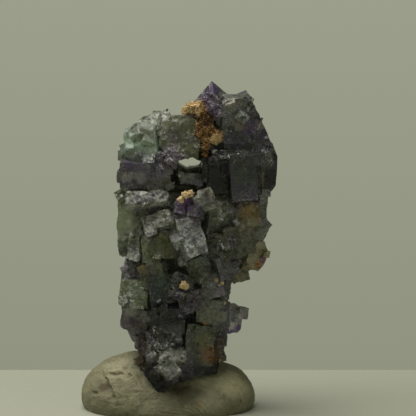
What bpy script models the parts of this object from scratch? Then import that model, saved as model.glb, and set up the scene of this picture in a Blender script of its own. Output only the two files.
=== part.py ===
"""A cluster of fluorite crystals grown together, standing in a lump of putty that holds it upright.

The crystals are cubes and blocks, some with their corners cut by octahedron faces, and the top point is an
octahedron. They are fused into one solid. A crust of iron-stained clay fills the groove under the top point,
and two cream nodules sit lower down. Shapes are worked out in millimetres and scaled to metres at the end.
Seen from the front, +X is to the right, +Y is away and +Z is up. Z is 0 where the putty rests.
"""

import math
import random

import bmesh
import bpy
from mathutils import Matrix, Vector

METRES_PER_MM = 0.001
GAP = 0.3  # between two pieces that touch

# The window that is left open under the big sloping face
WINDOW_CENTRE = Vector((1.05, 0.0, 27.15))
WINDOW_SIZE = (2.5, 24.0, 1.5)

# Each main crystal: the middle of its front face, its size across, in depth and in height,
# then its turn, nod and roll in degrees, then how much of the way to a corner is left by the
# octahedron faces: 1 is a whole block, 1/3 an octahedron. A positive turn shows more of the left
# side, a negative nod makes the front face look up and a positive roll runs against the clock.
MAIN_CRYSTALS = {
    "top point": ((4.2, -2.1, 32.5), (6.8, 6.8, 6.8), (8, 4, 2), 0.334),
    "frosted collar": ((3.9, -2.3, 34.0), (1.9, 3.0, 2.2), (30, -22, 10), 1.0),
    "right shoulder": ((6.2, -2.6, 32.0), (3.2, 4.2, 5.1), (6, 3, 0), 0.92),
    "right slope": ((6.9, -2.3, 31.0), (4.6, 5.4, 6.6), (4, 2, 25), 0.93),
    "right flank": ((9.4, -0.6, 26.2), (3.0, 4.4, 4.8), (34, 6, -3), 0.88),
    "bright facet": ((9.3, -1.3, 28.2), (1.5, 3.0, 1.3), (20, -26, 18), 1.0),
    "striped cube": ((7.0, -4.5, 25.9), (2.9, 4.6, 4.9), (6, 3, 4), 1.0),
    "dark cube": ((4.3, -3.5, 26.2), (2.3, 3.6, 4.2), (12, 8, 0), 1.0),
    "speckled step": ((5.6, -3.7, 28.6), (4.4, 3.0, 1.2), (4, -30, -3), 1.0),
    "big sloping face": ((0.0, -2.9, 30.5), (4.4, 4.8, 4.7), (-12, -16, -6), 0.84),
    "green crystal": ((-4.3, -3.0, 29.6), (3.6, 4.4, 4.2), (-14, -14, 6), 0.84),
    "green crystal top": ((-3.5, -1.5, 31.6), (2.9, 3.2, 2.2), (-20, -34, 12), 0.86),
    "green crystal foot": ((-5.6, -2.3, 28.2), (1.7, 3.4, 2.3), (-20, -6, 14), 1.0),
    "pale crystal": ((-2.1, -0.9, 32.0), (1.8, 2.4, 1.9), (10, -30, 20), 0.9),
    "sparkling steps": ((-2.0, -3.3, 28.1), (2.9, 3.4, 1.6), (-18, -24, 10), 1.0),
    "sparkling steps inner": ((-0.8, -2.9, 27.6), (1.6, 3.0, 1.3), (25, -20, -12), 1.0),
    "left shoulder": ((-4.9, -3.8, 26.2), (3.5, 5.0, 2.9), (-6, 8, -2), 1.0),
    "left shoulder inner": ((-2.2, -3.5, 25.9), (2.5, 4.4, 2.8), (14, 4, 6), 1.0),
    "under the window": ((1.4, -3.1, 25.8), (2.7, 3.6, 1.3), (20, -12, -6), 1.0),
    "post by the window": ((2.9, -2.6, 27.6), (0.9, 3.4, 4.4), (4, 0, 1), 1.0),
    "ledge": ((-3.6, -4.9, 24.1), (4.6, 3.6, 1.4), (2, -28, 3), 1.0),
    "left column": ((-6.1, -2.6, 20.7), (1.5, 4.6, 7.2), (-10, 0, 1), 0.95),
    "left column inner": ((-5.0, -3.4, 19.2), (1.5, 4.0, 4.6), (-30, -6, -6), 1.0),
    "frosted block": ((-2.5, -5.2, 21.5), (3.4, 3.4, 1.9), (-8, -26, 14), 0.95),
    "little tilted cube": ((2.9, -5.4, 23.8), (1.6, 3.2, 2.4), (-6, -8, 21), 1.0),
    "purple block": ((0.9, -5.0, 22.7), (2.0, 3.2, 2.4), (-24, -8, -12), 1.0),
    "purple block low": ((-0.2, -4.7, 21.3), (1.5, 3.0, 1.6), (30, 6, 16), 1.0),
    "leaning block": ((1.4, -6.0, 19.9), (2.6, 4.2, 4.6), (18, -14, 18), 0.95),
    "olive crystal": ((-1.4, -5.1, 18.7), (3.4, 4.2, 2.8), (10, -4, -6), 0.80),
    "olive crystal side": ((-3.3, -4.6, 18.5), (1.9, 4.0, 3.5), (-18, 0, 4), 1.0),
    "right middle": ((4.6, -4.4, 21.3), (3.2, 4.0, 3.4), (22, 10, -8), 1.0),
    "amber stained": ((7.5, -3.9, 22.0), (2.7, 4.6, 2.7), (4, -6, 3), 1.0),
    "right edge": ((8.9, -2.2, 22.7), (1.5, 3.6, 3.7), (20, 0, -2), 1.0),
    "right waist": ((6.6, -4.2, 19.1), (3.6, 4.4, 3.6), (26, 6, 10), 0.94),
    "right waist inner": ((4.2, -4.9, 18.2), (3.0, 4.0, 3.2), (-16, 12, -16), 1.0),
    "right waist low": ((5.3, -4.0, 16.2), (2.8, 4.0, 2.5), (30, 14, 14), 1.0),
    "amber bump": ((8.5, -1.6, 17.0), (2.4, 3.6, 3.3), (30, -4, -8), 0.78),
    "clear lobe": ((6.7, 1.4, 14.3), (1.7, 2.0, 1.1), (10, 4, 12), 1.0),
    "glassy bit": ((-5.7, -2.4, 15.3), (1.4, 2.8, 1.6), (-20, -20, 24), 1.0),
    "brown crystal": ((-3.4, -4.3, 15.5), (2.4, 4.0, 2.2), (-24, 4, 16), 1.0),
    "left belly": ((-5.1, -3.9, 13.3), (3.3, 4.6, 2.9), (-14, -12, -8), 0.92),
    "left belly low": ((-4.9, -3.8, 10.3), (3.2, 4.4, 2.7), (-10, 14, -12), 0.88),
    "teal crystal": ((-2.0, -4.8, 13.7), (2.7, 4.0, 3.3), (8, 4, 10), 1.0),
    "nodule seat": ((0.4, -5.1, 14.2), (2.4, 4.0, 2.6), (18, -10, -14), 1.0),
    "middle": ((2.0, -5.2, 15.8), (2.4, 4.0, 2.2), (-20, 8, 20), 1.0),
    "right of nodule": ((3.6, -4.6, 14.2), (2.6, 4.0, 2.8), (24, -6, 8), 1.0),
    "right notch": ((4.9, -3.4, 13.7), (1.7, 3.6, 2.8), (26, 4, -10), 1.0),
    "lower middle": ((1.3, -5.2, 12.5), (2.9, 4.0, 2.3), (10, 12, 10), 1.0),
    "above the wedge": ((3.1, -4.8, 11.3), (2.6, 4.0, 2.8), (-12, 4, -8), 1.0),
    "black cube": ((-1.3, -5.2, 10.4), (3.8, 4.2, 2.9), (4, 8, -3), 1.0),
    "speckled face": ((-1.8, -5.0, 7.6), (3.8, 4.0, 3.2), (-4, -6, 2), 1.0),
    "light step": ((-0.9, -5.4, 6.5), (2.6, 3.0, 1.2), (6, -26, -4), 1.0),
    "light cube": ((-1.1, -5.7, 5.1), (1.9, 2.8, 1.9), (8, -20, 34), 1.0),
    "black foot": ((-1.9, -5.0, 4.1), (2.8, 4.4, 2.8), (4, 0, 38), 1.0),
    "wedge": ((2.2, -4.4, 7.6), (3.4, 4.4, 4.6), (14, 4, -8), 1.0),
    "wedge foot": ((1.5, -4.0, 5.2), (3.4, 4.4, 2.4), (10, 8, 22), 1.0),
    "rusty foot": ((3.7, -2.8, 6.6), (2.7, 4.6, 2.8), (20, 8, 6), 1.0),
    "right shin": ((4.5, -2.3, 9.5), (1.8, 4.0, 5.0), (22, 2, -4), 1.0),
    "clear purple crystal": ((5.9, 0.1, 9.5), (1.9, 2.6, 2.7), (20, 6, -10), 0.9),
    "left shin": ((-3.7, -3.1, 6.6), (1.6, 3.8, 4.4), (-14, 0, 4), 1.0),
    "spur": ((-4.4, -2.4, 5.0), (1.4, 2.4, 1.0), (-10, 0, 28), 1.0),
    "heart of the top": ((2.2, -1.8, 30.4), (8.0, 5.6, 3.4), (3, 0, 4), 0.9),
    "heart of the right": ((7.0, -2.2, 26.4), (4.6, 6.4, 8.6), (6, 0, -2), 0.9),
    "heart of the left": ((-3.6, -2.3, 25.2), (4.2, 5.8, 7.6), (-8, 0, 2), 0.9),
    "heart of the middle": ((1.2, -3.2, 20.6), (13.6, 7.4, 7.2), (3, 0, -2), 0.88),
    "heart of the waist": ((-0.2, -3.2, 16.4), (10.8, 7.8, 5.6), (-5, 0, 2), 0.88),
    "heart of the belly": ((-0.7, -3.2, 11.9), (10.0, 7.6, 5.8), (7, 0, 2), 0.86),
    "heart of the foot": ((0.4, -2.9, 7.0), (7.4, 6.4, 7.6), (-4, 0, -2), 0.86),
}

# Middle and half width of the cluster at each height
SPAN_LEVELS = [
    (3.0, -0.5, 3.0),
    (6.0, 0.3, 4.8),
    (9.0, -0.6, 5.4),
    (12.0, -0.8, 5.9),
    (15.0, 0.3, 6.5),
    (18.0, 1.4, 8.1),
    (24.0, 1.5, 8.1),
    (27.0, 2.0, 8.4),
    (30.0, 2.0, 7.6),
    (32.0, 2.4, 6.4),
    (34.0, 4.6, 3.0),
]

# Crystals over the back and the sides, one for each place of a loose grid
BACK_SEED = 14
BACK_LEVELS = 10
BACK_LOWEST = 5.6
BACK_LEVEL_STEP = 2.75
BACK_SIZE = (2.4, 4.0)
BACK_DEPTH = 3.4

# Small blocks that grew along the edges of the main crystals, most of them turned as their host is
OVERGROWTH_SEED = 8
OVERGROWTH_SIZE = (0.6, 1.35)
OVERGROWTH_PROUD = (0.1, 0.4)
OVERGROWTHS_PER_CRYSTAL = 2
OVERGROWTH_STRAY_SHARE = 0.4

# Lumps of the rusty crust, of the cream curl and of the cream nodule: centre and radius
CRUST_LUMPS = {
    "iron_crust": [
        ((0.6, -1.9, 33.2), 0.55),
        ((1.3, -2.1, 33.6), 0.80),
        ((2.1, -2.2, 33.7), 0.80),
        ((2.5, -2.6, 33.0), 0.90),
        ((2.9, -2.8, 32.2), 0.85),
        ((2.5, -3.1, 31.5), 0.85),
        ((3.2, -3.1, 31.2), 0.90),
        ((2.1, -3.2, 30.9), 0.60),
        ((2.9, -3.2, 30.3), 0.75),
        ((4.0, -3.4, 30.4), 0.80),
        ((2.8, -3.2, 29.4), 0.60),
        ((2.8, -3.0, 28.6), 0.50),
    ],
    "cream_curl": [
        ((0.1, -5.3, 23.8), 0.45),
        ((0.6, -5.3, 24.3), 0.50),
        ((1.2, -5.2, 24.5), 0.48),
    ],
    "cream_nodule": [
        ((0.4, -5.5, 14.4), 0.55),
        ((0.7, -5.4, 14.2), 0.45),
    ],
}
CRUST_ROUGHNESS = 0.14  # share of its radius by which a lump's surface wanders
CRUST_SEED = 3

# The putty: blobs that blend into one lump, each with its centre and half sizes
PUTTY_BLOBS = [
    ((-5.1, 0.4, 2.0), (3.7, 5.2, 3.7)),
    ((-7.4, 0.2, 1.3), (2.5, 4.2, 2.1)),
    ((3.4, 0.2, 1.5), (4.3, 5.6, 3.3)),
    ((-1.0, -0.6, 0.8), (5.0, 5.4, 2.4)),
]
# The print of a thumb in the front of the lump, where the foot of the cluster shows
PUTTY_DENT = ((-1.0, -6.8, 5.4), (3.8, 3.0, 2.9))
PUTTY_DENT_DEPTH = 1.0
PUTTY_CENTRE = Vector((-1.2, 0.0, 1.9))
PUTTY_SEGMENTS = 40
PUTTY_RINGS = 18
PUTTY_LEVEL = 0.55  # strength of the blended blobs where the surface lies

COLOURS = {
    "fluorite": ((0.10, 0.13, 0.11, 1.0), 0.25),
    "crust": ((0.42, 0.25, 0.10, 1.0), 0.9),
    "cream": ((0.62, 0.50, 0.32, 1.0), 0.9),
    "putty": ((0.40, 0.36, 0.24, 1.0), 0.8),
}


def clear_scene():
    """Removes every object that the file opened with."""
    for obj in list(bpy.data.objects):
        bpy.data.objects.remove(obj, do_unlink=True)


def material(name):
    """A plain material of the piece's colour and roughness."""
    colour, roughness = COLOURS[name]
    made = bpy.data.materials.new(name)
    made.use_nodes = True
    shader = made.node_tree.nodes["Principled BSDF"]
    shader.inputs["Base Color"].default_value = colour
    shader.inputs["Roughness"].default_value = roughness
    shader.inputs["Metallic"].default_value = 0.0
    return made


def object_from(bm, name):
    """A scene object that holds the mesh built in bm."""
    mesh = bpy.data.meshes.new(name)
    bm.to_mesh(mesh)
    bm.free()
    obj = bpy.data.objects.new(name, mesh)
    bpy.context.scene.collection.objects.link(obj)
    return obj


def stance(turn, nod, roll):
    """How a crystal is turned: about the vertical, then nodding, then rolling against the clock."""
    return (
        Matrix.Rotation(math.radians(-roll), 4, "Y")
        @ Matrix.Rotation(math.radians(nod), 4, "X")
        @ Matrix.Rotation(math.radians(turn), 4, "Z")
    )


def cut_flat(bm, point, normal):
    """Cuts off what lies beyond the plane and closes the cut with one flat face."""
    everything = bm.verts[:] + bm.edges[:] + bm.faces[:]
    done = bmesh.ops.bisect_plane(
        bm, geom=everything, dist=1e-5, plane_co=point, plane_no=normal, clear_outer=True
    )
    rim = [item for item in done["geom_cut"] if isinstance(item, bmesh.types.BMEdge)]
    if rim:
        bmesh.ops.contextual_create(bm, geom=rim)


def centre_behind(front, size, turned):
    """The centre of a crystal whose front face has its middle at front."""
    return Vector(front) + turned @ Vector((0.0, size[1] / 2, 0.0))


def crystal_mesh(centre, size, turned, corner):
    """A cube or block whose eight corners are cut off by the faces of an octahedron."""
    bm = bmesh.new()
    bmesh.ops.create_cube(bm, size=1.0)
    bmesh.ops.scale(bm, vec=size, verts=bm.verts)
    reach = corner * sum(size) / 2 / math.sqrt(3)
    if corner < 1:
        for sx in (-1, 1):
            for sy in (-1, 1):
                for sz in (-1, 1):
                    normal = Vector((sx, sy, sz)).normalized()
                    cut_flat(bm, normal * reach, normal)
    bmesh.ops.recalc_face_normals(bm, faces=bm.faces)
    bmesh.ops.transform(bm, matrix=Matrix.Translation(centre) @ turned, verts=bm.verts)
    return bm


def cluster_span(z):
    """Middle and half width of the cluster at a height."""
    for (low, low_middle, low_half), (high, high_middle, high_half) in zip(SPAN_LEVELS, SPAN_LEVELS[1:]):
        if z <= high:
            share = max(0.0, (z - low) / (high - low))
            return (
                low_middle + (high_middle - low_middle) * share,
                low_half + (high_half - low_half) * share,
            )
    return SPAN_LEVELS[-1][1:]


def back_crystals():
    """Crystals over the back and the sides, from foot to top, each with its own size and stance."""
    dice = random.Random(BACK_SEED)
    found = []
    for level in range(BACK_LEVELS):
        z = BACK_LOWEST + level * BACK_LEVEL_STEP
        middle, half_width = cluster_span(z)
        places = (-0.66, -0.22, 0.22, 0.66) if level % 2 else (-0.5, 0.0, 0.5)
        for place in places:
            across = place + dice.uniform(-0.08, 0.08)
            depth = BACK_DEPTH * math.sqrt(1 - 0.8 * across * across) + dice.uniform(-0.5, 0.5)
            centre = (
                middle + across * half_width,
                depth,
                z + dice.uniform(-0.6, 0.6),
            )
            side = dice.uniform(*BACK_SIZE) * min(1.0, 0.6 + 0.03 * z)
            size = [side * dice.uniform(0.85, 1.2) for _ in range(3)]
            turned = stance(dice.uniform(-40, 40), dice.uniform(-30, 30), dice.uniform(-30, 30))
            found.append((centre, size, turned, dice.choice((1.0, 1.0, 0.85))))
    return found


def overgrowths(centre, size, turned, dice):
    """Small blocks that stand a little proud of a host, along the edges of its faces."""
    found = []
    for _ in range(OVERGROWTHS_PER_CRYSTAL):
        outward = dice.choice((0, 1, 1, 2))
        sign = -1 if outward == 1 else dice.choice((-1, 1))
        side = min(dice.uniform(*OVERGROWTH_SIZE), 0.6 * min(size))
        small = [side * dice.uniform(0.7, 1.4) for _ in range(3)]
        along = dice.choice([axis for axis in range(3) if axis != outward])
        local = Vector([dice.uniform(-0.4, 0.4) * size[axis] for axis in range(3)])
        local[along] = dice.choice((-1, 1)) * size[along] * dice.uniform(0.36, 0.48)
        local[outward] = sign * (size[outward] / 2 - small[outward] / 2 + dice.uniform(*OVERGROWTH_PROUD))
        own = turned
        if dice.random() < OVERGROWTH_STRAY_SHARE:
            own = turned @ stance(*[dice.uniform(-35, 35) for _ in range(3)])
        found.append((Vector(centre) + turned @ local, small, own, 1.0))
    return found


def all_crystals():
    """Every crystal of the cluster as centre, size, stance and corner share."""
    dice = random.Random(OVERGROWTH_SEED)
    hosts = []
    for front, size, angles, corner in MAIN_CRYSTALS.values():
        turned = stance(*angles)
        hosts.append((centre_behind(front, size, turned), size, turned, corner))
    hosts += back_crystals()
    small = []
    for centre, size, turned, corner in hosts:
        if corner > 0.5:
            small += overgrowths(centre, size, turned, dice)
    return hosts + small


def boolean(obj, operation, others):
    """Joins or cuts obj with the other objects, makes the result its mesh and removes the others."""
    tools = bpy.data.collections.new("tools")
    bpy.context.scene.collection.children.link(tools)
    for other in others:
        tools.objects.link(other)
    change = obj.modifiers.new(operation.lower(), "BOOLEAN")
    change.operation = operation
    change.solver = "EXACT"
    change.operand_type = "COLLECTION"
    change.collection = tools
    graph = bpy.context.evaluated_depsgraph_get()
    result = bpy.data.meshes.new_from_object(obj.evaluated_get(graph))
    obj.modifiers.clear()
    obj.data = result
    for other in others:
        bpy.data.objects.remove(other, do_unlink=True)
    bpy.data.collections.remove(tools)


def keep_largest_shell(bm):
    """Removes stray shells: pockets that are shut inside the solid, or a crumb cut loose."""
    left = set(bm.faces)
    shells = []
    while left:
        start = left.pop()
        shell = [start]
        waiting = [start]
        while waiting:
            face = waiting.pop()
            for edge in face.edges:
                for other in edge.link_faces if len(edge.link_faces) == 2 else ():
                    if other in left:
                        left.discard(other)
                        shell.append(other)
                        waiting.append(other)
        shells.append(shell)
    largest = max(shells, key=len)
    for shell in shells:
        if shell is not largest:
            bmesh.ops.delete(bm, geom=shell, context="FACES")


def tidy(obj, flat_within=0.2):
    """Drops stray shells and the edges that cross flat faces, and leaves triangles."""
    bm = bmesh.new()
    bm.from_mesh(obj.data)
    keep_largest_shell(bm)
    bmesh.ops.dissolve_limit(
        bm, angle_limit=math.radians(flat_within), verts=bm.verts, edges=bm.edges
    )
    bmesh.ops.triangulate(bm, faces=bm.faces)
    bm.to_mesh(obj.data)
    bm.free()


def window_cutter():
    """The open window: a six-sided tunnel from front to back that widens towards both ends."""
    bm = bmesh.new()
    width, length, height = WINDOW_SIZE
    rings = []
    for y, spread in ((-0.5, 1.9), (-0.12, 1.05), (0.12, 1.0), (0.5, 1.7)):
        ring = []
        for corner in range(6):
            angle = math.radians(60 * corner + 17)
            x = math.cos(angle) * width / 2 * spread
            z = math.sin(angle) * height / 2 * spread
            ring.append(bm.verts.new(WINDOW_CENTRE + Vector((x, y * length, z))))
        rings.append(ring)
    for near, far in zip(rings, rings[1:]):
        for i in range(6):
            j = (i + 1) % 6
            bm.faces.new((near[i], near[j], far[j], far[i]))
    bm.faces.new(rings[0][::-1])
    bm.faces.new(rings[-1])
    bmesh.ops.recalc_face_normals(bm, faces=bm.faces)
    return object_from(bm, "window")


def crust_objects(name, extra=0.0):
    """One crust's lumps as uneven little balls, each grown by extra."""
    dice = random.Random(CRUST_SEED)
    found = []
    for centre, radius in CRUST_LUMPS[name]:
        bm = bmesh.new()
        fineness = 2 if extra == 0.0 and radius > 0.7 else 1
        bmesh.ops.create_icosphere(bm, subdivisions=fineness, radius=radius + extra)
        for vert in bm.verts:
            vert.co *= 1 + dice.uniform(-1, 1) * CRUST_ROUGHNESS * (extra == 0.0)
        bmesh.ops.translate(bm, vec=centre, verts=bm.verts)
        found.append(object_from(bm, "crust_lump"))
    return found


def blob(point, centre, half):
    """Strength of one blob at a point: 1 in its middle, fading outwards."""
    away = sum(((point[i] - centre[i]) / half[i]) ** 2 for i in range(3))
    return math.exp(-0.6 * away)


def putty_field(point):
    """Strength of the blended blobs less the dent: over PUTTY_LEVEL is inside the lump."""
    total = sum(blob(point, centre, half) for centre, half in PUTTY_BLOBS)
    return total - PUTTY_DENT_DEPTH * blob(point, *PUTTY_DENT)


def putty_lump():
    """The squeezed lump: a ball pushed out to the blobs' surface and pressed flat below."""
    bm = bmesh.new()
    bmesh.ops.create_uvsphere(bm, u_segments=PUTTY_SEGMENTS, v_segments=PUTTY_RINGS, radius=1.0)
    for vert in bm.verts:
        way = vert.co.normalized()
        near, far = 0.0, 20.0
        for _ in range(30):
            middle = (near + far) / 2
            if putty_field(PUTTY_CENTRE + way * middle) > PUTTY_LEVEL:
                near = middle
            else:
                far = middle
        vert.co = PUTTY_CENTRE + way * near
        vert.co.z = max(vert.co.z, 0.0)
    bmesh.ops.remove_doubles(bm, verts=bm.verts, dist=0.02)
    return object_from(bm, "putty_base")


def grown_foot():
    """The crystals of the foot, each grown by the gap: the print that they leave in the putty."""
    found = []
    for centre, size, turned, corner in all_crystals():
        if centre[2] - max(size) < 7.5:
            bigger = [side + 2 * GAP for side in size]
            found.append(object_from(crystal_mesh(centre, bigger, turned, corner), "print"))
    return found


def build_cluster():
    """The fused crystals, with the window left open and the crust's bed cut away."""
    shapes = [object_from(crystal_mesh(*each), "crystal") for each in all_crystals()]
    cluster = shapes[0]
    boolean(cluster, "UNION", shapes[1:])
    beds = [lump for name in CRUST_LUMPS for lump in crust_objects(name, GAP)]
    boolean(cluster, "DIFFERENCE", [window_cutter()] + beds)
    cluster.name = "fluorite_cluster"
    tidy(cluster)
    return cluster


def build_crust(name):
    """One crust in its bed: a solid of overlapping lumps."""
    lumps = crust_objects(name)
    crust = lumps[0]
    boolean(crust, "UNION", lumps[1:])
    crust.name = name
    tidy(crust)
    return crust


def build_putty():
    """The lump of putty with the print of the crystals' feet in it."""
    putty = putty_lump()
    boolean(putty, "DIFFERENCE", grown_foot())
    tidy(putty, flat_within=0.5)
    return putty


def finish(obj, look, shift):
    """Moves a piece by shift, scales it to metres and gives it its material."""
    obj.data.transform(Matrix.Scale(METRES_PER_MM, 4) @ Matrix.Translation(shift))
    obj.data.materials.clear()
    obj.data.materials.append(material(look))


def shift_to_origin(objects):
    """The move that brings the middle of the underside of the objects' common box to the origin."""
    points = [vert.co for obj in objects for vert in obj.data.vertices]
    low = [min(point[axis] for point in points) for axis in range(3)]
    high = [max(point[axis] for point in points) for axis in range(3)]
    return Vector((-(low[0] + high[0]) / 2, -(low[1] + high[1]) / 2, -low[2]))


def main():
    clear_scene()
    looks = {build_cluster(): "fluorite", build_putty(): "putty"}
    for name in CRUST_LUMPS:
        looks[build_crust(name)] = "crust" if name == "iron_crust" else "cream"
    shift = shift_to_origin(looks)
    for obj, look in looks.items():
        finish(obj, look, shift)


main()
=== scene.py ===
"""The looks of a fluorite crystal cluster standing in a lump of putty.

Laid out as a Blender add-on: properties hold the sizes and colours, one operator makes each piece, and a
panel lists them. Shapes are worked out in millimetres and scaled to metres as each piece is finished.
Seen from the front, +X is to the right, +Y is away and +Z is up.
"""

import itertools
import math
import random

import bmesh
import bpy
import numpy as np
from mathutils import Matrix, Vector, noise
from mathutils.bvhtree import BVHTree


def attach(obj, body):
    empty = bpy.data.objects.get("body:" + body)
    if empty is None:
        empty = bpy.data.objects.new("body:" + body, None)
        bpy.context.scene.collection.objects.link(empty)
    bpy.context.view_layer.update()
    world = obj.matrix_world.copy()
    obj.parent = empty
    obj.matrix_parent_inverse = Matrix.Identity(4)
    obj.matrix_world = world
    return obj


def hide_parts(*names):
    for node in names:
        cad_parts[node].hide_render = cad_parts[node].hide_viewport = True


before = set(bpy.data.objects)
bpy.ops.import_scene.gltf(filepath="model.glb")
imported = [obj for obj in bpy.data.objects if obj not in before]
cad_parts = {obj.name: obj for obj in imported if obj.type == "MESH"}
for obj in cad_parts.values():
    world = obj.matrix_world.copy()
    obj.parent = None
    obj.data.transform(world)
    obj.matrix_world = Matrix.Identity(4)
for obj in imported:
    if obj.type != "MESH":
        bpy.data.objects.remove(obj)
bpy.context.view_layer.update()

bl_info = {
    "name": "Fluorite cluster",
    "version": (1, 0, 0),
    "blender": (4, 5, 0),
    "location": "View3D > Sidebar > Fluorite",
    "description": "Builds a fluorite crystal cluster in its putty lump",
    "category": "Add Mesh",
}

BODY = "root"
METRES_PER_MM = 0.001
SHIFT = Vector((0.164, -0.288, 0.0))  # brings the middle of the box over the origin, as in the part

# The window that is left open under the big sloping face
WINDOW_CENTRE = Vector((1.05, 0.0, 27.15))
WINDOW_SIZE = (2.9, 24.0, 2.0)

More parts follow.
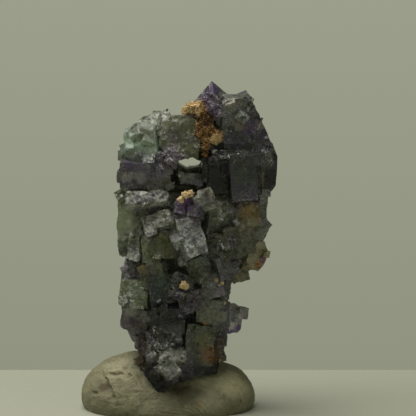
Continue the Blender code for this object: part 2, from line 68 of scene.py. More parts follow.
# Each main crystal: the middle of its front face, its size across, in depth and in height,
# then its turn, nod and roll in degrees, how much of the way to a corner is left by the octahedron
# faces, and its look.
MAIN_CRYSTALS = {
    "top point": ((4.2, -2.1, 32.5), (6.8, 6.8, 6.8), (8, 4, 2), 0.334, "purple"),
    "frosted collar": ((3.9, -2.3, 34.0), (1.9, 3.0, 2.2), (30, -22, 10), 1.0, "lilac"),
    "right shoulder": ((6.2, -2.6, 32.0), (3.2, 4.2, 5.1), (6, 3, 0), 0.92, "grey"),
    "right slope": ((6.9, -2.3, 31.0), (4.6, 5.4, 6.6), (4, 2, 25), 0.93, "violet grey"),
    # Its near-black look paints the shade on this side face
    "right flank": ((9.4, -0.6, 26.2), (3.0, 4.4, 4.8), (34, 6, -3), 0.88, "black"),
    "bright facet": ((9.3, -1.3, 28.2), (1.5, 3.0, 1.3), (20, -26, 18), 1.0, "frosted"),
    "striped cube": ((7.0, -4.5, 25.9), (2.9, 4.6, 4.9), (6, 3, 4), 1.0, "slate"),
    # Its near-black look paints the shade on the left side of the striped cube
    "dark cube": ((4.3, -3.5, 26.2), (2.3, 3.6, 4.2), (12, 8, 0), 1.0, "black"),
    "speckled step": ((5.6, -3.7, 28.6), (4.4, 3.0, 1.2), (4, -30, -3), 1.0, "speckled"),
    "big sloping face": ((0.0, -2.9, 30.5), (4.4, 4.8, 4.7), (-12, -16, -6), 0.84, "sage"),
    "green crystal": ((-4.3, -3.0, 29.6), (3.6, 4.4, 4.2), (-14, -14, 6), 0.84, "sea green"),
    "green crystal top": ((-3.5, -1.5, 31.6), (2.9, 3.2, 2.2), (-20, -34, 12), 0.86, "pale green"),
    "green crystal foot": ((-5.6, -2.3, 28.2), (1.7, 3.4, 2.3), (-20, -6, 14), 1.0, "sea green"),
    "pale crystal": ((-2.1, -0.9, 32.0), (1.8, 2.4, 1.9), (10, -30, 20), 0.9, "pale green"),
    "sparkling steps": ((-2.0, -3.3, 28.1), (2.9, 3.4, 1.6), (-18, -24, 10), 1.0, "lilac"),
    "sparkling steps inner": ((-0.8, -2.9, 27.6), (1.6, 3.0, 1.3), (25, -20, -12), 1.0, "violet grey"),
    "left shoulder": ((-4.9, -3.8, 26.2), (3.5, 5.0, 2.9), (-6, 8, -2), 1.0, "violet grey"),
    "left shoulder inner": ((-2.2, -3.5, 25.9), (2.5, 4.4, 2.8), (14, 4, 6), 1.0, "grey"),
    "under the window": ((1.4, -3.1, 25.8), (2.7, 3.6, 1.3), (20, -12, -6), 1.0, "grey"),
    "post by the window": ((2.9, -2.6, 27.6), (0.9, 3.4, 4.4), (4, 0, 1), 1.0, "slate"),
    "ledge": ((-3.6, -4.9, 24.1), (4.6, 3.6, 1.4), (2, -28, 3), 1.0, "frosted"),
    "left column": ((-6.1, -2.6, 20.7), (1.5, 4.6, 7.2), (-10, 0, 1), 0.95, "moss"),
    "left column inner": ((-5.0, -3.4, 19.2), (1.5, 4.0, 4.6), (-30, -6, -6), 1.0, "frosted"),
    "frosted block": ((-2.5, -5.2, 21.5), (3.4, 3.4, 1.9), (-8, -26, 14), 0.95, "frosted"),
    "little tilted cube": ((2.9, -5.4, 23.8), (1.6, 3.2, 2.4), (-6, -8, 21), 1.0, "frosted"),
    "purple block": ((0.9, -5.0, 22.7), (2.0, 3.2, 2.4), (-24, -8, -12), 1.0, "lilac"),
    "purple block low": ((-0.2, -4.7, 21.3), (1.5, 3.0, 1.6), (30, 6, 16), 1.0, "violet grey"),
    "leaning block": ((1.4, -6.0, 19.9), (2.6, 4.2, 4.6), (18, -14, 18), 0.95, "frosted"),
    "olive crystal": ((-1.4, -5.1, 18.7), (3.4, 4.2, 2.8), (10, -4, -6), 0.80, "olive"),
    "olive crystal side": ((-3.3, -4.6, 18.5), (1.9, 4.0, 3.5), (-18, 0, 4), 1.0, "moss"),
    "right middle": ((4.6, -4.4, 21.3), (3.2, 4.0, 3.4), (22, 10, -8), 1.0, "dark green"),
    "amber stained": ((7.5, -3.9, 22.0), (2.7, 4.6, 2.7), (4, -6, 3), 1.0, "amber"),
    "right edge": ((8.9, -2.2, 22.7), (1.5, 3.6, 3.7), (20, 0, -2), 1.0, "grey"),
    "right waist": ((6.6, -4.2, 19.1), (3.6, 4.4, 3.6), (26, 6, 10), 0.94, "dark green"),
    "right waist inner": ((4.2, -4.9, 18.2), (3.0, 4.0, 3.2), (-16, 12, -16), 1.0, "speckled"),
    "right waist low": ((5.3, -4.0, 16.2), (2.8, 4.0, 2.5), (30, 14, 14), 1.0, "violet grey"),
    "amber bump": ((8.5, -1.6, 17.0), (2.4, 3.6, 3.3), (30, -4, -8), 0.78, "honey"),
    "clear lobe": ((6.7, 1.4, 14.3), (1.7, 2.0, 1.1), (10, 4, 12), 1.0, "honey"),
    "glassy bit": ((-5.7, -2.4, 15.3), (1.4, 2.8, 1.6), (-20, -20, 24), 1.0, "clear"),
    "brown crystal": ((-3.4, -4.3, 15.5), (2.4, 4.0, 2.2), (-24, 4, 16), 1.0, "olive"),
    "left belly": ((-5.1, -3.9, 13.3), (3.3, 4.6, 2.9), (-14, -12, -8), 0.92, "moss"),
    "left belly low": ((-4.9, -3.8, 10.3), (3.2, 4.4, 2.7), (-10, 14, -12), 0.88, "violet grey"),
    "teal crystal": ((-2.0, -4.8, 13.7), (2.7, 4.0, 3.3), (8, 4, 10), 1.0, "teal"),
    "nodule seat": ((0.4, -5.1, 14.2), (2.4, 4.0, 2.6), (18, -10, -14), 1.0, "speckled"),
    "middle": ((2.0, -5.2, 15.8), (2.4, 4.0, 2.2), (-20, 8, 20), 1.0, "dark green"),
    "right of nodule": ((3.6, -4.6, 14.2), (2.6, 4.0, 2.8), (24, -6, 8), 1.0, "grey"),
    "right notch": ((4.9, -3.4, 13.7), (1.7, 3.6, 2.8), (26, 4, -10), 1.0, "speckled"),
    "lower middle": ((1.3, -5.2, 12.5), (2.9, 4.0, 2.3), (10, 12, 10), 1.0, "speckled"),
    "above the wedge": ((3.1, -4.8, 11.3), (2.6, 4.0, 2.8), (-12, 4, -8), 1.0, "grey"),
    "black cube": ((-1.3, -5.2, 10.4), (3.8, 4.2, 2.9), (4, 8, -3), 1.0, "smoke"),
    "speckled face": ((-1.8, -5.0, 7.6), (3.8, 4.0, 3.2), (-4, -6, 2), 1.0, "speckled"),
    "light step": ((-0.9, -5.4, 6.5), (2.6, 3.0, 1.2), (6, -26, -4), 1.0, "frosted"),
    "light cube": ((-1.1, -5.7, 5.1), (1.9, 2.8, 1.9), (8, -20, 34), 1.0, "frosted"),
    "black foot": ((-1.9, -5.0, 4.1), (2.8, 4.4, 2.8), (4, 0, 38), 1.0, "black"),
    "wedge": ((2.2, -4.4, 7.6), (3.4, 4.4, 4.6), (14, 4, -8), 1.0, "dark green"),
    "wedge foot": ((1.5, -4.0, 5.2), (3.4, 4.4, 2.4), (10, 8, 22), 1.0, "black"),
    "rusty foot": ((3.7, -2.8, 6.6), (2.7, 4.6, 2.8), (20, 8, 6), 1.0, "rusty"),
    "right shin": ((4.5, -2.3, 9.5), (1.8, 4.0, 5.0), (22, 2, -4), 1.0, "violet grey"),
    "clear purple crystal": ((5.9, 0.1, 9.5), (1.9, 2.6, 2.7), (20, 6, -10), 0.9, "clear"),
    "left shin": ((-3.7, -3.1, 6.6), (1.6, 3.8, 4.4), (-14, 0, 4), 1.0, "rusty"),
    "spur": ((-4.4, -2.4, 5.0), (1.4, 2.4, 1.0), (-10, 0, 28), 1.0, "frosted"),
    "heart of the top": ((2.2, -1.8, 30.4), (8.0, 5.6, 3.4), (3, 0, 4), 0.9, "sage"),
    "heart of the right": ((7.0, -2.2, 26.4), (4.6, 6.4, 8.6), (6, 0, -2), 0.9, "slate"),
    "heart of the left": ((-3.6, -2.3, 25.2), (4.2, 5.8, 7.6), (-8, 0, 2), 0.9, "grey"),
    "heart of the middle": ((1.2, -3.2, 20.6), (13.6, 7.4, 7.2), (3, 0, -2), 0.88, "dark green"),
    "heart of the waist": ((-0.2, -3.2, 16.4), (10.8, 7.8, 5.6), (-5, 0, 2), 0.88, "dark green"),
    "heart of the belly": ((-0.7, -3.2, 11.9), (10.0, 7.6, 5.8), (7, 0, 2), 0.86, "smoke"),
    "heart of the foot": ((0.4, -2.9, 7.0), (7.4, 6.4, 7.6), (-4, 0, -2), 0.86, "smoke"),
}

# Middle and half width of the cluster at each height
SPAN_LEVELS = [
    (3.0, -0.5, 3.0),
    (6.0, 0.3, 4.8),
    (9.0, -0.6, 5.4),
    (12.0, -0.8, 5.9),
    (15.0, 0.3, 6.5),
    (18.0, 1.4, 8.1),
    (24.0, 1.5, 8.1),
    (27.0, 2.0, 8.4),
    (30.0, 2.0, 7.6),
    (32.0, 2.4, 6.4),
    (34.0, 4.6, 3.0),
]
BACK_SEED = 14
BACK_LEVELS = 10
BACK_LOWEST = 5.6
BACK_LEVEL_STEP = 2.75
BACK_SIZE = (2.4, 4.0)
BACK_DEPTH = 3.4
BACK_LOOKS = (
    "grey", "dark green", "moss", "violet grey", "frosted", "sage", "speckled", "smoke", "sea green",
)
OVERGROWTH_SEED = 8
OVERGROWTH_SIZE = (0.6, 1.35)
OVERGROWTH_PROUD = (0.1, 0.4)
OVERGROWTHS_PER_CRYSTAL = 2
OVERGROWTH_STRAY_SHARE = 0.4

# Each look: colour of the stone, how frosted its faces are, how striped, how thick the druse on it grows
CRYSTAL_LOOKS = {
    "purple": ((0.26, 0.205, 0.265), 0.3, 0.3, 0.0),
    "lilac": ((0.46, 0.36, 0.52), 0.9, 0.2, 0.6),
    "violet grey": ((0.33, 0.31, 0.34), 0.4, 0.3, 0.0),
    "grey": ((0.39, 0.4, 0.31), 0.4, 0.5, 0.1),
    "slate": ((0.12, 0.135, 0.12), 0.1, 1.0, 0.0),
    # Near black: painted shade where it lies on the shadowed side faces of the right flank and of the cube
    # left of the striped cube, and on the strip right of the striped cube; the feet that have it are laid near
    # black
    "black": ((0.004, 0.004, 0.005), 0.03, 0.4, 0.0),
    "smoke": ((0.022, 0.022, 0.019), 0.3, 0.4, 0.1),
    "sage": ((0.3, 0.315, 0.18), 0.25, 1.0, 0.0),
    "sea green": ((0.86, 1.0, 0.78), 0.3, 0.4, 0.0),
    "pale green": ((0.88, 0.93, 0.76), 0.5, 0.2, 0.0),
    "moss": ((0.4, 0.46, 0.27), 0.45, 0.8, 0.1),
    "dark green": ((0.215, 0.235, 0.13), 0.55, 0.5, 0.5),
    "teal": ((0.045, 0.07, 0.05), 0.3, 0.4, 0.0),
    "olive": ((0.21, 0.22, 0.095), 0.2, 0.8, 0.0),
    "frosted": ((0.78, 0.8, 0.69), 0.8, 0.6, 0.1),
    "speckled": ((0.215, 0.22, 0.175), 0.9, 0.4, 0.7),
    "clear": ((0.99, 0.95, 0.96), 0.3, 0.2, 0.0),
    "amber": ((0.27, 0.21, 0.075), 0.5, 0.3, 0.3),
    "honey": ((0.66, 0.57, 0.29), 0.6, 0.2, 0.2),
    "rusty": ((0.27, 0.17, 0.08), 0.6, 0.2, 0.3),
    # Painted glint: a near-white colour that stands in for light glinting off little facets
    "mirror": ((0.98, 1.0, 0.95), 0.9, 0.2, 0.0),
}
SMOOTH_LOOKS = ("slate", "black", "teal", "smoke")
BLEND_OVER = 0.16  # how far from a crystal's surface its colour reaches into its neighbour's

TINT_SEED = 3
PLACE_STEP = 3.7  # sets the patterns of one crystal apart from those of the next
MOST_WORN = 0.15  # of a crystal's shortest side

# The etched relief: crystals with a side longer than ETCHED_OVER have it. Its grid, wide waves and fine
# roughness are in millimetres, its steps are a share of the crystal's size, and its noise reads three
# fixed places, one for each direction
ETCHED_OVER = 0.4
ETCH_GRID = 0.3
ETCH_WIDE = 0.26
ETCH_FINE = 0.13
ETCH_STEP = 0.05
NOISE_OFFSETS = ((3.1, 17.7, 8.3), (41.9, 5.3, 29.1), (11.7, 33.3, 57.1))

DRUSE_SEED = 5
FIBRE_SEED = 4
FIBRE_LEAN = 1.5
CRUMB_SEED = 3.0
CRUMB_SUNK = 0.25  # of a crumb's radius

# Lumps of the rusty crust, of the cream curl and of the cream nodule: centre and radius
CRUST_LUMPS = {
    "iron_crust": [
        ((0.6, -1.9, 33.2), 0.55),
        ((1.3, -2.1, 33.6), 0.80),
        ((2.1, -2.2, 33.7), 0.80),
        ((2.5, -2.6, 33.0), 0.90),
        ((2.9, -2.8, 32.2), 0.85),
        ((2.5, -3.1, 31.5), 0.85),
        ((3.2, -3.1, 31.2), 0.90),
        ((2.1, -3.2, 30.9), 0.60),
        ((2.9, -3.2, 30.3), 0.75),
        ((4.0, -3.4, 30.4), 0.80),
        ((2.8, -3.2, 29.4), 0.60),
        ((2.8, -3.0, 28.6), 0.50),
    ],
    "cream_curl": [
        ((0.1, -5.3, 23.8), 0.45),
        ((0.6, -5.3, 24.3), 0.50),
        ((1.2, -5.2, 24.5), 0.48),
    ],
    "cream_nodule": [
        ((0.4, -5.5, 14.4), 0.55),
        ((0.7, -5.4, 14.2), 0.45),
    ],
}

# Places on the rusty crust: its cream upper end, its dark middle and a cream spot low down
CREAM_END = (1.2, -2.4, 33.8)
DARK_MIDDLE = (3.0, -3.2, 32.2)
CREAM_SPOT = (3.9, -3.9, 30.3)

# The putty: blobs that blend into one lump, each with its centre and half sizes
PUTTY_BLOBS = [
    ((-5.1, 0.4, 2.0), (3.7, 5.2, 3.7)),
    ((-7.4, 0.2, 1.3), (2.5, 4.2, 2.1)),
    ((3.4, 0.2, 1.5), (4.3, 5.6, 3.3)),
    ((-1.0, -0.6, 0.8), (5.0, 5.4, 2.4)),
]
PUTTY_DENT = ((-1.0, -6.8, 5.4), (3.8, 3.0, 2.9))
PUTTY_DENT_DEPTH = 1.0
PUTTY_CENTRE = np.array((-1.2, 0.0, 1.9))
PUTTY_LEVEL = 0.55
PUTTY_SEGMENTS = 440
PUTTY_RINGS = 170
PRINT_BELOW = 7.5  # crystals that reach under this height leave their print in the putty
PRINT_GAP = 0.04  # between the crystals' feet and the putty that was pressed round them

# Dents and pits in the putty: centre, half sizes and depth
PUTTY_PITS = [
    ((-9.2, -4.0, 4.2), (0.55, 1.6, 0.5), 0.5),
    ((-8.8, -4.4, 3.4), (0.65, 1.6, 0.6), 0.9),
    ((-8.3, -4.8, 2.7), (0.75, 1.6, 0.6), 1.0),
    ((-7.6, -5.0, 2.0), (0.6, 1.6, 0.45), 0.6),
    ((-7.0, -5.4, 1.3), (0.6, 1.4, 0.3), 0.45),
    ((-8.0, -4.2, 4.3), (0.6, 1.4, 0.22), 0.5),
    ((-7.0, -4.2, 4.4), (0.55, 1.4, 0.18), 0.45),
    ((-6.3, -3.8, 4.9), (0.28, 1.0, 0.22), 0.4),
    ((-5.8, -4.2, 4.2), (0.30, 1.0, 0.20), 0.35),
    ((-4.9, -3.4, 5.6), (0.32, 1.0, 0.20), 0.35),
    ((-9.4, -4.0, 2.3), (0.45, 1.2, 0.16), 0.35),
    ((-5.2, -5.4, 2.6), (1.1, 1.4, 0.14), 0.16),
    ((-3.6, -5.8, 1.8), (1.4, 1.4, 0.13), 0.16),
    ((6.6, -4.6, 2.9), (0.5, 1.2, 0.3), 0.22),
    ((6.9, -4.4, 1.4), (0.16, 0.8, 0.16), 0.25),
    ((5.0, -5.2, 3.1), (0.5, 1.2, 0.22), 0.2),
    ((1.6, -6.6, 1.9), (1.3, 1.4, 0.16), 0.16),
]
RIDGE_FAN = Vector((0.6, -0.8))  # where the ridges of the right lobe's print fan out from, across and up

SCRATCH_SPACING = 0.38  # between the scratches that were drawn along the foot of the lump

# How far a bright little block is set back into its host, as a share of its depth; a block of painted glint
# stands forward
BLOCK_SET_BACK = 0.12
GLINT_SET_BACK = -0.3

# Bright little blocks that stand out of the front: place across, height on the front plane, size, stance and
# look. Those with the near-white look are painted glints; some thin strips paint light and shade along edges,
# as marked
BRIGHT_BLOCKS = [
    # Painted glints: the near-white blocks that follow, set where facets catch the light
    (-0.45, 18.9, (1.2, 0.9, 1.5), (-22, -38, 30), "mirror"),
    (-0.9, 19.6, (0.9, 0.8, 0.9), (10, -30, 48), "mirror"),
    (6.8, 32.2, (1.3, 0.9, 0.9), (12, -60, -26), "mirror"),
    (-0.3, 18.8, (1.3, 1.3, 2.2), (6, -58, 34), "mirror"),
    (-4.6, 28.0, (0.8, 0.5, 0.4), (10, -56, -12), "mirror"),
    (-2.3, 28.1, (0.7, 0.5, 0.4), (-16, -58, 14), "mirror"),
    (-1.0, 27.4, (0.6, 0.5, 0.35), (22, -56, -18), "mirror"),
    (9.3, 28.3, (0.8, 0.6, 0.7), (18, -48, 24), "mirror"),
    (-6.3, 23.4, (0.5, 0.5, 0.5), (-20, -50, 8), "mirror"),
    (-1.6, 5.7, (0.7, 0.5, 0.4), (10, -54, 30), "mirror"),
    (-4.9, 30.3, (1.2, 0.8, 1.1), (-14, -55, 20), "pale green"),
    (-3.5, 29.6, (1.3, 0.8, 1.1), (10, -52, -16), "sea green"),
    (-5.4, 28.8, (1.0, 0.7, 0.9), (-18, -50, -10), "sea green"),
    (5.6, 33.6, (1.2, 0.8, 0.8), (-10, -55, 14), "frosted"),
    (7.9, 30.5, (0.9, 0.7, 0.8), (12, -52, -30), "lilac"),
    # Painted glints that brighten the clear purple crystal
    (5.8, 9.5, (0.9, 0.6, 0.9), (14, -52, 20), "mirror"),
    (6.2, 10.4, (0.6, 0.5, 0.6), (-10, -46, -20), "mirror"),
    # Painted highlight: two thin pale strips for the light rim along the upper right edge
    (7.7, 33.5, (0.18, 0.6, 1.6), (10, -20, -24), "frosted"),
    (8.7, 31.4, (0.18, 0.6, 1.5), (10, -20, -22), "frosted"),
    # Painted shade: a thin near-black strip on the striped cube's shadowed right side face
    (8.55, 25.4, (0.42, 0.5, 4.3), (6, 3, 3), "black"),
    # Painted highlight: a thin pale strip for the light line along the striped cube's right edge
    (8.98, 25.2, (0.13, 0.5, 4.1), (6, 3, 3), "honey"),
    (2.95, 25.5, (0.12, 0.5, 2.6), (0, 3, 0), "frosted"),
    (7.2, 23.1, (2.4, 0.5, 0.16), (6, 3, 3), "lilac"),
    (-4.7, 30.4, (1.3, 1.0, 1.0), (-20, -30, 30), "pale green"),
    (-3.7, 30.9, (1.6, 1.0, 0.8), (12, -36, -12), "pale green"),
    (-5.6, 28.6, (0.9, 0.8, 0.7), (24, -30, 15), "lilac"),
    (-2.2, 27.6, (0.9, 0.8, 0.6), (12, -28, -14), "lilac"),
    (-1.0, 27.3, (0.8, 0.8, 0.6), (-20, -34, 28), "lilac"),
    # Painted glint at the right edge
    (8.9, 23.3, (0.7, 0.6, 0.6), (32, -20, 20), "mirror"),
    (2.2, 24.6, (0.9, 0.7, 0.6), (-14, -30, 22), "frosted"),
    (4.4, 21.2, (0.8, 0.8, 0.9), (16, -26, -22), "frosted"),
    (6.1, 20.4, (0.7, 0.8, 0.8), (30, -22, 36), "frosted"),
    (5.2, 17.8, (1.0, 0.8, 0.8), (-16, -24, 12), "speckled"),
    (-3.4, 9.8, (1.4, 0.8, 0.5), (14, -36, -28), "frosted"),
    (-5.9, 11.9, (0.8, 0.7, 0.9), (-24, -22, 18), "frosted"),
    (2.4, 16.4, (1.0, 0.8, 0.7), (18, -32, 24), "frosted"),
    (-2.9, 5.9, (0.9, 0.8, 0.7), (-12, -30, 34), "frosted"),
    (0.6, 10.8, (0.8, 0.8, 0.6), (26, -28, -16), "lilac"),
]

# Crumbs of mineral on the crystals: place across, height on the front plane, radius
CREAM_CRUMBS = [
    (4.0, 14.2, 0.30),
    (4.6, 13.9, 0.26),
    (4.3, 13.6, 0.22),
    (4.9, 11.6, 0.20),
    (1.4, 10.6, 0.20),
]
RUSTY_CRUMBS = [
    (2.7, 9.4, 0.26),
    (-1.4, 33.0, 0.20),
    (8.5, 15.8, 0.30),
    (3.4, 5.4, 0.35),
    (4.3, 5.2, 0.30),
]

# Stains in the stone and on the putty, with painted light and shade among them as marked: place across, height
# on the front plane, radius, colour and strength
STONE_STAINS_LIGHT_AND_SHADE = [
    (2.75, 32.4, 2.2, (0.16, 0.08, 0.03), 0.45),
    (3.7, 35.2, 1.1, (0.12, 0.07, 0.20), 0.55),
    (4.6, 34.3, 0.9, (0.42, 0.40, 0.36), 0.6),
    # Painted light: the green crystal's top, which faces the light, painted paler
    (-3.8, 31.0, 1.5, (0.95, 1.0, 0.88), 0.6),
    (-2.1, 32.2, 1.1, (0.97, 1.0, 0.90), 0.8),
    # Painted light: the green crystal's front painted paler for the glow of light passing through it
    (-5.2, 29.2, 1.5, (0.72, 0.95, 0.66), 0.5),
    (-3.1, 29.0, 1.3, (0.60, 0.78, 0.52), 0.4),
    (7.7, 21.6, 1.5, (0.42, 0.28, 0.06), 0.8),
    (8.5, 15.8, 0.6, (0.75, 0.26, 0.03), 0.9),
    (9.2, 16.4, 0.6, (0.36, 0.12, 0.24), 0.75),
    # Honey colour, brightened to paint the glow of light passing through the amber bump
    (8.9, 18.4, 1.3, (0.80, 0.72, 0.46), 0.5),
    (0.7, 22.8, 1.3, (0.20, 0.09, 0.26), 0.8),
    # Painted light: the clear purple crystal painted near white for the light passing through it
    (5.9, 9.1, 1.3, (0.97, 0.95, 0.97), 0.9),
    (5.7, 8.3, 0.42, (0.22, 0.07, 0.45), 0.9),
    (6.4, 8.8, 0.4, (0.22, 0.07, 0.45), 0.9),
    (3.4, 5.9, 1.5, (0.40, 0.20, 0.08), 0.8),
    (-0.4, 6.9, 0.7, (0.01, 0.01, 0.01), 0.85),
    (-5.6, 27.1, 0.9, (0.17, 0.11, 0.24), 0.7),
    (-4.2, 27.0, 0.8, (0.17, 0.11, 0.24), 0.6),
    (-2.8, 27.1, 0.8, (0.17, 0.11, 0.24), 0.6),
    (-5.8, 25.6, 0.8, (0.66, 0.68, 0.60), 0.6),
    (-4.3, 25.5, 0.9, (0.46, 0.48, 0.40), 0.6),
    (-2.2, 26.0, 1.2, (0.40, 0.37, 0.42), 0.6),
    (-1.6, 28.0, 0.9, (0.62, 0.54, 0.68), 0.6),
    (5.5, 33.7, 1.3, (0.62, 0.58, 0.46), 0.65),
    (6.6, 32.4, 1.0, (0.46, 0.50, 0.36), 0.6),
    (7.5, 31.0, 1.3, (0.22, 0.14, 0.30), 0.6),
    (8.0, 20.3, 1.5, (0.40, 0.40, 0.26), 0.5),
    # Honey colour, brightened to paint the glow of light passing through the amber bump
    (7.6, 16.2, 1.4, (0.74, 0.66, 0.42), 0.6),
    (8.8, 31.2, 0.7, (0.56, 0.52, 0.46), 0.6),
    (6.4, 31.3, 0.8, (0.44, 0.36, 0.24), 0.6),
    (5.6, 30.9, 0.6, (0.015, 0.012, 0.02), 0.75),
    (7.7, 33.6, 0.5, (0.012, 0.01, 0.016), 0.8),
    (8.5, 32.1, 0.5, (0.012, 0.01, 0.016), 0.8),
    (9.2, 30.5, 0.5, (0.012, 0.01, 0.016), 0.8),
    (9.8, 28.8, 0.5, (0.012, 0.01, 0.016), 0.8),
    # Painted shade on the shadowed side face at the right
    (9.7, 25.6, 1.7, (0.012, 0.011, 0.012), 0.7),
    (-6.1, 20.8, 2.3, (0.80, 0.90, 0.60), 0.6),
    (-5.4, 10.8, 1.0, (0.66, 0.66, 0.58), 0.6),
    (-2.1, 2.9, 1.8, (0.003, 0.003, 0.003), 0.94),
    (-1.3, 10.4, 1.6, (0.010, 0.010, 0.012), 0.6),
    (2.7, 7.4, 1.4, (0.34, 0.31, 0.14), 0.5),
    (-4.3, 15.5, 0.9, (0.42, 0.30, 0.12), 0.55),
    (-1.6, 18.3, 1.4, (0.24, 0.26, 0.09), 0.6),
    # Painted shade on the shadowed left side of the striped cube
    (5.2, 24.9, 0.9, (0.006, 0.006, 0.006), 0.9),
    (3.9, 24.6, 1.1, (0.006, 0.006, 0.006), 0.9),
    (3.7, 25.8, 1.3, (0.006, 0.006, 0.006), 0.8),
    (4.6, 12.9, 0.9, (0.42, 0.36, 0.44), 0.6),
    (-5.0, 13.0, 1.3, (0.34, 0.44, 0.30), 0.5),
    (-1.9, 14.2, 1.2, (0.10, 0.16, 0.11), 0.6),
    (4.1, 17.6, 1.6, (0.26, 0.28, 0.17), 0.5),
]
# Patches of painted glints, white flecks over darkened stone: place across, height on the front plane and
# radius
SPARKLES = [
    (4.2, 28.3, 1.1),
    (5.8, 28.2, 1.1),
    (-1.6, 27.9, 1.0),
    (-3.0, 27.7, 0.7),
    (6.9, 32.3, 0.8),
    (4.6, 34.2, 0.7),
    (-2.6, 6.6, 1.1),
    (-1.0, 7.6, 0.9),
    (-2.9, 8.4, 0.8),
    (4.6, 17.8, 0.9),
    (9.3, 28.0, 0.6),
]
PUTTY_STAINS_LIGHT_AND_SHADE = [
    # Painted shade in the dent down the left lobe
    (-8.4, 2.3, 0.9, (0.09, 0.06, 0.03), 0.75),
    (-7.1, 3.7, 0.5, (0.07, 0.05, 0.03), 0.6),
    (6.2, 2.4, 0.9, (0.20, 0.20, 0.165), 0.7),
    (5.3, 2.3, 0.45, (0.34, 0.21, 0.07), 0.8),
    (1.7, 1.9, 0.5, (0.32, 0.20, 0.07), 0.7),
    (2.1, 0.4, 0.45, (0.30, 0.20, 0.07), 0.7),
    # Painted shade in small pits: the next four
    (6.6, 0.8, 0.28, (0.02, 0.02, 0.02), 0.95),
    (-6.6, 3.2, 0.22, (0.04, 0.03, 0.02), 0.8),
    (-5.9, 4.0, 0.2, (0.04, 0.03, 0.02), 0.8),
    (-4.9, 5.2, 0.25, (0.05, 0.04, 0.02), 0.8),
    (-3.4, 4.6, 0.2, (0.30, 0.16, 0.06), 0.8),
    # Painted shade: the cluster's shadow on the putty under it, and the front darker
    (0.2, 1.3, 3.0, (0.070, 0.066, 0.032), 0.95),
    (-2.0, 1.0, 2.2, (0.19, 0.18, 0.105), 0.5),
    # Painted light on the lit top of the left lobe and on the right lobe
    (-6.5, 4.6, 2.6, (0.48, 0.45, 0.29), 0.7),
    (6.0, 2.8, 2.5, (0.50, 0.465, 0.27), 0.9),
]

# A line of sight from the front: how far before the front plane it starts, and its fall over that way
SIGHT_START = 30.0
SIGHT_FALL = 0.14

# The stage, in millimetres in the frame: the slab, the lights, each with place, size and colour, the band in
# which the backdrop darkens towards the floor, and the view's target, width, rise and lens
FLOOR_SIZE = (260.0, 144.5, 5.0)
FLOOR_MIDDLE = (0.0, -47.75, -2.5)
FLOOR_RIM = 0.6
MAIN_LIGHT = ((-85, 10, 260), 260, (1.0, 0.98, 0.94))
FILL_LIGHT = ((190, -160, 60), 120, (0.95, 0.98, 1.0))
HORIZON = (-0.17, -0.10)
VIEW_TARGET = (3.24, -0.288, 22.15)
VIEW_WIDTH = 45.76
VIEW_RISE = math.radians(8)
VIEW_LENS = 500.0


def stance(turn, nod, roll):
    """How a crystal is turned: about the vertical, then nodding, then rolling against the clock."""
    return (
        Matrix.Rotation(math.radians(-roll), 4, "Y")
        @ Matrix.Rotation(math.radians(nod), 4, "X")
        @ Matrix.Rotation(math.radians(turn), 4, "Z")
    )


def centre_behind(front, size, turned):
    """The centre of a crystal whose front face has its middle at front."""
    return Vector(front) + turned @ Vector((0.0, size[1] / 2, 0.0))


def cut_flat(bm, point, normal):
    """Cuts off what lies beyond the plane and closes the cut with one flat face."""
    everything = bm.verts[:] + bm.edges[:] + bm.faces[:]
    done = bmesh.ops.bisect_plane(
        bm, geom=everything, dist=1e-5, plane_co=point, plane_no=normal, clear_outer=True
    )
    rim = [item for item in done["geom_cut"] if isinstance(item, bmesh.types.BMEdge)]
    if rim:
        bmesh.ops.contextual_create(bm, geom=rim)


def object_from(bm, name):
    """A scene object that holds the mesh built in bm."""
    mesh = bpy.data.meshes.new(name)
    bm.to_mesh(mesh)
    bm.free()
    obj = bpy.data.objects.new(name, mesh)
    bpy.context.scene.collection.objects.link(obj)
    return obj


def corner_reach(size, corner):
    """How far from the middle of a block its octahedron faces lie."""
    return corner * sum(size) / 2 / math.sqrt(3)


def block_mesh(size, corner, cuts=0):
    """A block whose eight corners are cut by the faces of an octahedron, gridded where cuts are given."""
    bm = bmesh.new()
    bmesh.ops.create_cube(bm, size=1.0)
    if cuts:
        bmesh.ops.subdivide_edges(bm, edges=bm.edges[:], cuts=cuts, use_grid_fill=True)
    bmesh.ops.scale(bm, vec=size, verts=bm.verts)
    if corner < 1:
        for signs in itertools.product((-1, 1), repeat=3):
            normal = Vector(signs).normalized()
            cut_flat(bm, normal * corner_reach(size, corner), normal)
    return bm


def crystal_object(centre, size, turned, corner, worn=0.0):
    """A crystal with plain faces, its edges worn by a hair."""
    bm = block_mesh(size, corner)
    if worn:
        worn = min(worn, MOST_WORN * min(size))
        bmesh.ops.bevel(bm, geom=bm.edges[:], offset=worn, segments=2, profile=0.5, affect="EDGES")
    bmesh.ops.recalc_face_normals(bm, faces=bm.faces)
    bmesh.ops.transform(bm, matrix=Matrix.Translation(centre) @ turned, verts=bm.verts)
    return object_from(bm, "crystal")


def wandering(place):
    """Smooth noise in three directions, the same on each run."""
    return Vector([noise.noise(place + Vector(offset)) for offset in NOISE_OFFSETS])


